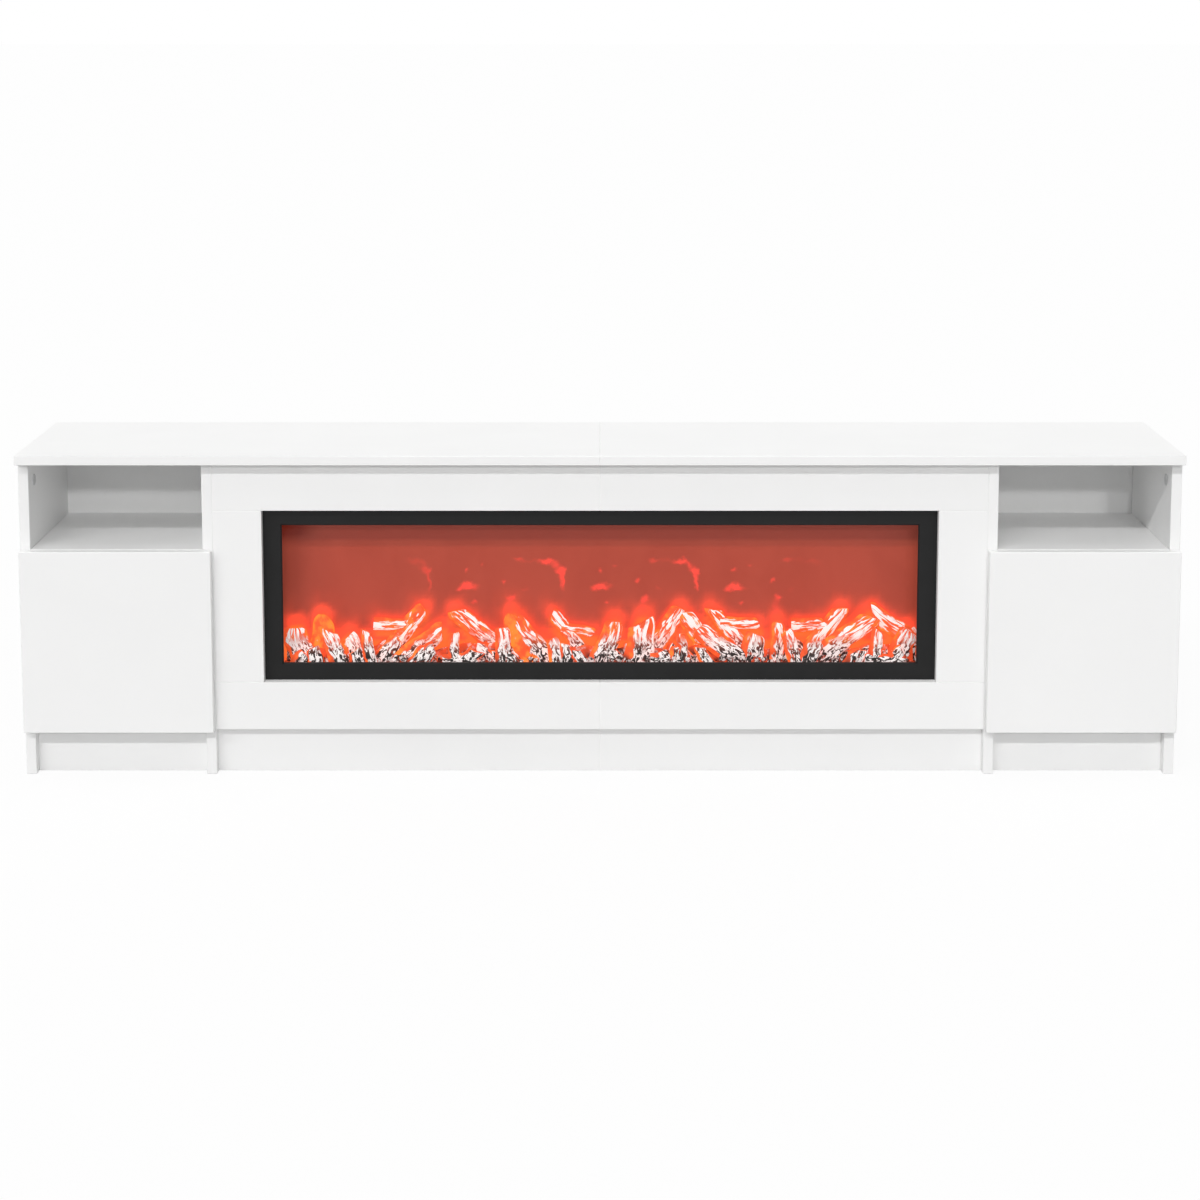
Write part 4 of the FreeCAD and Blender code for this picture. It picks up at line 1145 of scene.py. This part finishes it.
@dataclass
class LogRow:
    """One row of logs, carved with noise along their grain."""

    node: str
    shapes: tuple[LogShape, ...]
    finishes: Finishes
    window: float
    bed_top: float
    seed: float
    rise: float = 0.080
    girth: float = 0.040
    sunk: float = 0.008
    ring_gap: float = 0.0021
    sides: int = 38
    splinters: int = 9
    taper: float = 0.16
    sway: float = 0.22
    slant: float = 1.3
    slant_from: float = 0.75
    groove_width: float = 0.16
    groove_depth: float = 0.15
    hollow_pitch: float = 55.0
    hollow_from: float = 0.6

    def ends(self, shape: LogShape) -> tuple[Vector, Vector]:
        """Foot and tip of a log.

        Args:
            shape: The log.

        Returns:
            Both points.
        """
        low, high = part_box(self.node)
        middle = (low[1] + high[1]) / 2
        foot = Vector((self.window * (2 * shape.foot_x - 1), middle, self.bed_top + self.rise * shape.foot_z))
        tip = Vector((self.window * (2 * shape.tip_x - 1), middle, self.bed_top + self.rise * shape.tip_z))
        return foot, tip

    def carve(self, draft: MeshDraft, shape: LogShape, number: int) -> None:
        """Add one log to the row's mesh.

        Args:
            draft: Mesh to add it to.
            shape: The log.
            number: Its number, which sets its own pattern.
        """
        foot, tip = self.ends(shape)
        low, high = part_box(self.node)
        depth = (high[1] - low[1]) / 2
        half = self.girth * shape.girth / 2
        way = (tip - foot).normalized()
        side = way.cross(BACK)
        start = foot - way * min(half * 1.2, self.sunk)
        length = (tip - start).length
        own = Vector((self.seed, 3.7 * number, -1.3 * number))
        blunt_share, rounding, ash_share = shape.burn.value
        blunt = half / length * blunt_share
        cut = half * self.slant * noise.noise(own * 0.7)
        rings = []
        count = max(10, round(length / self.ring_gap))
        for place in range(count + 1):
            share = place / count
            along = length * share
            round_off = max(0.0, (share - 1.0 + blunt) / blunt)
            taper = 1.0 - self.taper * share
            taper *= math.sqrt(max(0.06, 1.0 - rounding * round_off * round_off))
            sway = noise.noise(Vector((share * 2.1, 0.0, 0.0)) + own) * half * self.sway
            slant = cut * max(0.0, (share - self.slant_from) / (1.0 - self.slant_from))
            ring = []
            for step in range(self.sides):
                angle = math.tau * step / self.sides
                cos, sin = math.cos(angle), math.sin(angle)
                grain = Vector((cos * half, along, sin * depth)) + own
                lump = noise.noise(Vector((cos * 0.9, along / half * 0.55, sin * 0.9)) + own)
                fibre = Vector((cos * 2.6, along / half * 0.42 + lump * 0.5, sin * 2.6)) - own
                groove = crack_at(fibre, self.groove_width)
                shrink = taper * (0.9 + 0.13 * lump - self.groove_depth * groove * groove)
                spot = start + way * (along + cos * slant) + side * (cos * half * shrink + sway)
                spot += BACK * (sin * depth * shrink)
                base = unit(1.0 - (spot.z - self.bed_top) / self.rise)
                across = abs(cos + 0.2) + 0.4 * noise.noise(Vector((along * 90.0, cos, 0.0)) + own)
                ash = unit((1.02 - across) / 0.34) * unit(0.5 - sin * 2.0) * ash_share
                hollow = max(0.0, noise.noise(spot * self.hollow_pitch) + 0.1)
                hollow *= max(0.0, base - self.hollow_from) * 3.0
                ember = max(0.0, 0.76 + 0.3 * shape.heat - 0.08 * ash - hollow)
                ring.append(draft.corner(spot, grain, ash=ash, ember=ember, low=base, groove=groove))
            rings.append(ring)
        draft.tube(rings)

    def kindling(self) -> list[LogShape]:
        """Short splinters that lie between the logs.

        Returns:
            The splinters.
        """
        chance = random.Random(round(self.seed))
        splinters = []
        for _ in range(self.splinters):
            foot = chance.uniform(0.02, 0.98)
            lean = chance.uniform(-0.022, 0.022)
            low = chance.uniform(0.0, 0.12)
            high = low + chance.uniform(0.12, 0.26)
            girth = chance.uniform(0.5, 0.8)
            splinters.append(LogShape(foot, foot + lean, low, high, girth, chance.uniform(0.15, 0.7)))
        return splinters

    def build(self) -> bpy.types.Object:
        """Carve the row.

        Returns:
            The row's piece.
        """
        draft = MeshDraft()
        for number, shape in enumerate((*self.shapes, *self.kindling())):
            self.carve(draft, shape, number)
        obj = draft.build(f"carved_{self.node}")
        return settle(obj, Body.CABINET, Slot.LOG, self.finishes, self.node)


@dataclass
class EmberBed:
    """Lumpy ember bed with broken coals and a heap of glowing ash on it."""

    finishes: Finishes
    columns: int = 260
    rows: int = 16
    lump: float = 0.005
    swell_pitch: float = 90.0
    crack_pitch: float = 130.0
    crack_width: float = 0.2
    coals: int = 200
    coal_size: Span = (0.0045, 0.0105)
    coal_inset: float = 0.012
    coal_rear: float = 0.010
    seed: int = 11
    heap: float = 0.038
    heap_depth: float = 0.011
    heap_columns: int = 420
    heap_sides: int = 22
    heap_pitch: float = 16.0
    heap_lumps: float = 75.0
    hollow_pitch: float = 48.0
    hollow_from: float = 0.3
    margin: float = 0.004

    def build(self) -> list[bpy.types.Object]:
        """Build the bed, its coals and its heap of ash.

        Returns:
            The three pieces.
        """
        low, high = (Vector(corner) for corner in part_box("ember_bed"))
        draft = MeshDraft()
        lines = []
        for row in range(self.rows + 1):
            line = []
            for column in range(self.columns + 1):
                x = low.x + (high.x - low.x) * column / self.columns
                y = low.y + (high.y - low.y) * row / self.rows
                swell = noise.noise(Vector((x * self.swell_pitch, y * self.swell_pitch, 0.3)))
                crack = crack_at(Vector((x * self.crack_pitch, y * self.crack_pitch, 4.1)), self.crack_width)
                z = high.z - self.lump * (0.75 - 0.6 * swell + 0.4 * crack)
                spot, grain = Vector((x, y, min(z, high.z))), Vector((x, y, z))
                ash, ember = 0.35 + 0.3 * swell, 0.75 * crack + 0.15
                line.append(draft.corner(spot, grain, ash=ash, ember=ember, low=0.8, groove=crack))
            lines.append(line)
        draft.sheet(lines)
        border = rim(lines)
        skirt = []
        for number in border:
            spot = Vector((draft.corners[number].x, draft.corners[number].y, low.z))
            skirt.append(draft.corner(spot, spot, ash=0.1, ember=0.0, low=1.0, groove=0.5))
        draft.band(skirt, border)
        bed = settle(draft.build("cast_ember_bed"), Body.CABINET, Slot.EMBER, self.finishes, "ember_bed")
        return [bed, self.scatter(low, high), self.bank(low, high)]

    def bank(self, low: Vector, high: Vector) -> bpy.types.Object:
        """Heap of glowing ash that fills the gaps between the logs.

        Args:
            low: Lowest corner of the bed.
            high: Highest corner of the bed.

        Returns:
            The heap.
        """
        draft = MeshDraft()
        rings = []
        for column in range(self.heap_columns + 1):
            share = column / self.heap_columns
            x = low.x + self.margin + (high.x - low.x - 2 * self.margin) * share
            top = self.heap * (0.72 + 0.5 * noise.noise(Vector((x * self.heap_pitch, 0.0, 7.7))))
            ring = []
            for step in range(self.heap_sides):
                angle = math.tau * step / self.heap_sides
                cos, sin = math.cos(angle), math.sin(angle)
                lump = noise.noise(Vector((x * self.heap_lumps, cos * 1.4, sin * 1.4)))
                swell = 0.86 + 0.14 * lump
                rise = top * max(0.0, sin) * swell - 0.002
                spot = Vector((x, high.y - self.heap_depth * (1.05 - cos * swell), high.z + rise))
                base = unit(1.0 - rise / self.heap)
                hollow = max(0.0, noise.noise(spot * self.hollow_pitch) + 0.5)
                hollow *= max(0.0, base - self.hollow_from) * 2.6
                grain = Vector((spot.x, spot.z, spot.y))
                ash, ember = 0.5 + 0.2 * lump, max(0.0, 0.9 - hollow)
                ring.append(draft.corner(spot, grain, ash=ash, ember=ember, low=base, groove=0.0))
            rings.append(ring)
        draft.tube(rings)
        return settle(draft.build("glowing_bank"), Body.CABINET, Slot.EMBER, self.finishes)

    def scatter(self, low: Vector, high: Vector) -> bpy.types.Object:
        """Scatter broken coals over the bed.

        Args:
            low: Lowest corner of the bed.
            high: Highest corner of the bed.

        Returns:
            The coals.
        """
        chance = random.Random(self.seed)
        draft = MeshDraft()
        for number in range(self.coals):
            size = chance.uniform(*self.coal_size)
            x = chance.uniform(low.x + self.coal_inset, high.x - self.coal_inset)
            y = chance.uniform(low.y + self.coal_inset, high.y - self.coal_rear)
            middle = Vector((x, y, high.z + size * chance.uniform(-0.1, 0.5)))
            self.coal(draft, middle, size, number, chance.uniform(0.0, 0.8))
        return settle(draft.build("broken_coals"), Body.CABINET, Slot.EMBER, self.finishes)

    def coal(self, draft: MeshDraft, middle: Vector, size: float, number: int, heat: float) -> None:
        """One broken coal.

        Args:
            draft: Mesh to add it to.
            middle: Its middle.
            size: Its half width.
            number: Its number, which sets its own shape.
            heat: How hot it glows.
        """
        own = Vector((number * 1.7, -number * 0.9, 2.0))
        viewer = Vector((0.0, -0.7, 0.7))
        shell = bmesh.new()
        bmesh.ops.create_icosphere(shell, subdivisions=3, radius=1.0)
        numbers = []
        for vert in shell.verts:
            way = vert.co.normalized()
            chip = noise.noise(way * 1.3 + own)
            crack = crack_at(way * 2.4 - own, 0.18)
            spot = middle + way * (size * (0.85 + 0.4 * chip - 0.14 * crack))
            front = max(0.0, way.dot(viewer) + 0.1)
            grain, ember = way * size + own, heat * (1.0 - 0.5 * front)
            numbers.append(draft.corner(spot, grain, ash=front, ember=ember, low=0.8, groove=crack))
        for face in shell.faces:
            draft.faces.append(tuple(numbers[vert.index] for vert in face.verts))
        shell.free()


@dataclass
class FlameScreen:
    """Back-lit screen whose glow follows the outline of the logs, with painted shade in its upper left corner
    and a painted shadow of the frame along its top.
    """

    finishes: Finishes
    rows: Sequence[LogRow]
    step: float = 0.006
    reach: float = 0.0082
    fade: float = 1.25
    log_half: float = 0.4
    body: float = 0.6
    bar_half: float = 0.0102
    bar_shares: tuple[float, ...] = (0.0, 0.22, 0.41)
    tall: float = 0.45
    sink: float = 0.016
    # Painted shadow of the frame's top edge: where its band starts and how soft its lower edge is.
    veil_edge: float = 0.354
    veil_soft: float = 0.006
    # Painted shade towards the upper left corner and along the left end of the screen.
    corner: Span = (-0.477, 0.369)
    corner_size: Span = (0.032, 0.014)
    corner_dark: float = 0.85
    end_size: float = 0.012
    end_dark: float = 0.2

    def halo(self, x: float, z: float, bars: Sequence[tuple[Vector, Vector, float]]) -> float:
        """Glow at one point.

        Args:
            x: Place across.
            z: Place above the floor.
            bars: Foot, tip and half girth of each log.

        Returns:
            The glow between 0 and 1.
        """
        best = 1.0
        for foot, tip, half in bars:
            run_x, run_z = tip.x - foot.x, tip.z - foot.z
            share = ((x - foot.x) * run_x + (z - foot.z) * run_z) / (run_x * run_x + run_z * run_z)
            share = unit(share)
            gap = math.hypot(x - foot.x - run_x * share, z - foot.z - run_z * share) - half * self.body
            best = min(best, gap)
        lively = 1.0 + 0.5 * noise.noise(Vector((x * 38, z * 38, 9.0)))
        lively += 0.35 * noise.noise(Vector((x * 110, z * 80, 2.0)))
        return min(1.0, math.exp(-((max(0.0, best) / (self.reach * lively)) ** self.fade)))

    def dim(self, x: float, z: float) -> float:
        """Share of painted shade on the screen towards its upper left corner and along its left end.

        Args:
            x: Place across.
            z: Place above the floor.

        Returns:
            The share of painted shade.
        """
        wide, tall = self.corner_size
        inward = max(0.0, x - self.corner[0])
        down = max(0.0, self.corner[1] - z)
        corner = math.exp(-((inward / wide) ** 2) - (down / tall) ** 2)
        return min(1.0, self.corner_dark * corner + self.end_dark * math.exp(-inward / self.end_size))

    def bars(self, low: Vector, high: Vector) -> list[tuple[Vector, Vector, float]]:
        """Lines that the glow follows: the taller logs, and bars along the bed.

        Args:
            low: Lowest corner of the screen.
            high: Highest corner of the screen.

        Returns:
            Foot, tip and half girth of each.
        """
        bars = []
        for row in self.rows:
            for shape in row.shapes:
                if shape.tip_z > self.tall:
                    bars.append((*row.ends(shape), row.girth * shape.girth * self.log_half))
        middle = (low.y + high.y) / 2
        for share in self.bar_shares:
            level = self.rows[0].bed_top + self.rows[0].rise * share
            ends = (Vector((x, middle, level)) for x in (low.x, high.x))
            bars.append((*ends, self.bar_half))
        return bars

    def build(self) -> bpy.types.Object:
        """Build the screen.

        Returns:
            The screen.
        """
        low, high = (Vector(corner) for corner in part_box("flame_screen"))
        bars = self.bars(low, high)
        columns = round((high.x - low.x) / self.step)
        rows = round((high.z - low.z) / self.step)
        draft = MeshDraft()
        sheets = []
        for depth in (low.y, high.y):
            lines = []
            for row in range(rows + 1):
                z = low.z + (high.z - low.z) * row / rows
                line = []
                for column in range(columns + 1):
                    x = low.x + (high.x - low.x) * column / columns
                    # Painted shade towards the upper left corner and the left end.
                    dim = self.dim(x, z)
                    # Painted shadow of the frame's top edge along the top of the screen, weaker where the
                    # painted corner shade lies.
                    veil = unit((z - self.veil_edge) / self.veil_soft) * (1.0 - dim)
                    halo = self.halo(x, z, bars)
                    core = max(0.0, self.halo(x, z + self.sink, bars) - 0.5) * 2.0
                    line.append(draft.corner(Vector((x, depth, z)), halo=halo, core=core, dim=dim, veil=veil))
                lines.append(line)
            sheets.append(lines)
        front, rear = sheets
        draft.sheet(front)
        draft.sheet(rear, flip=True)
        draft.band(rim(rear), rim(front))
        screen = draft.build("glowing_screen", False)
        return settle(screen, Body.CABINET, Slot.FLAME, self.finishes, "flame_screen")


@dataclass
class Fire(Assembly):
    """Electric fire: firebox, frame, glass, bed, logs, screen and the works behind it."""

    lap: float = 0.010

    def build(self) -> list[bpy.types.Object]:
        """Build the logs, the bed and the screen.

        Returns:
            The pieces.
        """
        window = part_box("front_glass")[1][0] - self.lap
        bed_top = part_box("ember_bed")[1][2]
        rows = []
        for node, shapes, seed in (
            ("logs_front_row", FRONT_LOGS, 5.0),
            ("logs_middle_row", MIDDLE_LOGS, 23.0),
            ("logs_back_row", BACK_LOGS, 41.0),
        ):
            rows.append(LogRow(node, shapes, self.finishes, window, bed_top, seed))
        pieces = [row.build() for row in rows]
        pieces += EmberBed(self.finishes).build()
        return [*pieces, FlameScreen(self.finishes, rows[1:]).build()]

    def nodes(self) -> dict[Slot, list[str]]:
        """CAD nodes of the fire by their finish.

        Returns:
            Names of the nodes for each slot.
        """
        return {
            Slot.STEEL: ["firebox_floor", "firebox_roof", "firebox_ends", "firebox_back"],
            Slot.FRAME: ["trim_frame"],
            Slot.GLASS: ["front_glass"],
            Slot.FOIL: ["flame_rotor"],
            Slot.ZINC: ["rotor_motor"],
            Slot.BRASS: ["rotor_bush"],
            Slot.CIRCUIT: ["light_boards"],
            Slot.BLACK_PLASTIC: ["control_box", "power_inlet"],
            Slot.ROCKER: ["power_rocker"],
        }


@dataclass(frozen=True)
class SunLamp:
    """Distant soft lamp, with its angles in degrees."""

    name: str
    azimuth: float
    elevation: float
    strength: float
    spread: float

    def build(self) -> None:
        """Add the lamp."""
        data = bpy.data.lights.new(self.name, "SUN")
        data.energy = self.strength
        data.angle = math.radians(self.spread)
        lamp = add_object(self.name, data)
        turn, rise = math.radians(self.azimuth), math.radians(self.elevation)
        way = Vector((math.sin(turn) * math.cos(rise), math.cos(turn) * math.cos(rise), -math.sin(rise)))
        lamp.rotation_euler = way.to_track_quat("-Z", "Y").to_euler()


@dataclass
class Studio:
    """White studio: floor, surround, lamps and camera."""

    surround: float = 0.49
    floor_half: float = 60.0
    floor_grain: float = 40.0
    floor_tones: Span = (0.45, 0.47)
    floor_seen: float = 0.95
    floor_white: float = 0.9
    distance: float = 3.832
    height: float = 1.2097
    pitch: float = 7.351
    lens: float = 73.16
    sensor: float = 36.0
    shift: float = -0.24
    key_slope: float = 0.757
    key_spread: float = 3.0
    key_row: tuple[Span, ...] = ((2.0, 0.32), (16.0, 0.32), (30.0, 0.28), (44.0, 0.23))
    fill: tuple[SunLamp, ...] = (
        SunLamp("low_left", -1.0, 18.8, 0.26, 2.5),
        SunLamp("low_right", -9.0, 18.6, 0.26, 2.5),
        SunLamp("overhead", 0.0, 86.0, 0.62, 60.0),
    )

    def seen(self, graph: Graph) -> Socket:
        """Tell what the camera sees, also in gloss and through glass, from what only lights the part.

        Args:
            graph: Nodes of the floor or the world.

        Returns:
            1 where it is seen, else 0.
        """
        path = graph.node("ShaderNodeLightPath").outputs
        seen = graph.math("MAXIMUM", path["Is Camera Ray"], path["Is Glossy Ray"])
        return graph.math("MAXIMUM", seen, path["Is Transmission Ray"])

    def floor(self) -> None:
        """Pale floor that reads as white and keeps the object's shadow."""
        mesh = bpy.data.meshes.new("floor")
        ways = ((-1, -1), (1, -1), (1, 1), (-1, 1))
        mesh.from_pydata([(x * self.floor_half, y * self.floor_half, 0) for x, y in ways], [], [(0, 1, 2, 3)])
        floor = add_object("floor", mesh)
        graph = Graph(bpy.data.materials.new("floor_paper"))
        seen = self.seen(graph)
        paper = graph.noise(graph.place(), self.floor_grain, 3.0)
        tone = graph.blend(paper, *((level,) * 3 for level in self.floor_tones))
        tone = graph.blend(seen, tone, (self.floor_seen,) * 3)
        matt = graph.node("ShaderNodeBsdfDiffuse", {"Color": tone}).outputs[0]
        white = graph.node("ShaderNodeEmission", {"Strength": 1.0}).outputs[0]
        share = graph.math("MULTIPLY", seen, self.floor_white)
        mixed = graph.node("ShaderNodeMixShader", {0: share, 1: matt, 2: white}).outputs[0]
        mesh.materials.append(graph.surface(mixed))
        floor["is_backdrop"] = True

    def sky(self) -> None:
        """White surround: white to the camera, dimmer as a light."""
        graph = Graph(bpy.data.worlds.new("surround"), "World")
        values = {"Value": self.seen(graph), "To Min": self.surround, "To Max": 1.0}
        level = graph.node("ShaderNodeMapRange", values).outputs["Result"]
        light = graph.node("ShaderNodeBackground", {"Color": (1.0, 1.0, 1.0, 1.0), "Strength": level})
        bpy.context.scene.world = graph.surface(light.outputs[0])

    def lamps(self) -> None:
        """A wide, shallow key lamp as a row of suns, a low pair in front and a weak one overhead."""
        for number, (azimuth, strength) in enumerate(self.key_row):
            rise = math.degrees(math.atan(self.key_slope * math.cos(math.radians(azimuth))))
            SunLamp(f"key_{number}", azimuth, rise, strength, self.key_spread).build()
        for lamp in self.fill:
            lamp.build()

    def camera(self) -> None:
        """Camera at the photograph's viewing angle."""
        data = bpy.data.cameras.new("camera")
        data.lens = self.lens
        data.sensor_width = self.sensor
        data.shift_y = self.shift
        camera = add_object("camera", data)
        camera.location = (0.0, -self.distance, self.height)
        camera.rotation_euler = (math.radians(90.0 - self.pitch), 0.0, 0.0)
        bpy.context.scene.camera = camera

    def build(self) -> None:
        """Set up the studio."""
        self.floor()
        self.sky()
        self.lamps()
        self.camera()
        bpy.context.scene.view_settings.view_transform = "Standard"


def main() -> None:
    """Build and dress the part and its studio."""
    logging.basicConfig(level=logging.INFO, format="%(name)s: %(message)s")
    finishes = Finishes()
    for assembly in (Carcass(finishes), Fasteners(finishes), Fire(finishes)):
        for piece in assembly.build():
            LOG.info("%s built, %d faces", piece.name, len(piece.data.polygons))
        for name in assembly.dress():
            LOG.info("%s dressed", name)
    Studio().build()
    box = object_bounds()
    sizes = {
        "cad": [list(map(float, corner)) for corner in CAD_BOX],
        "visual": [list(map(float, corner)) for corner in box],
    }
    LOG.info("size %s", sizes)


if __name__ == "__main__":
    main()
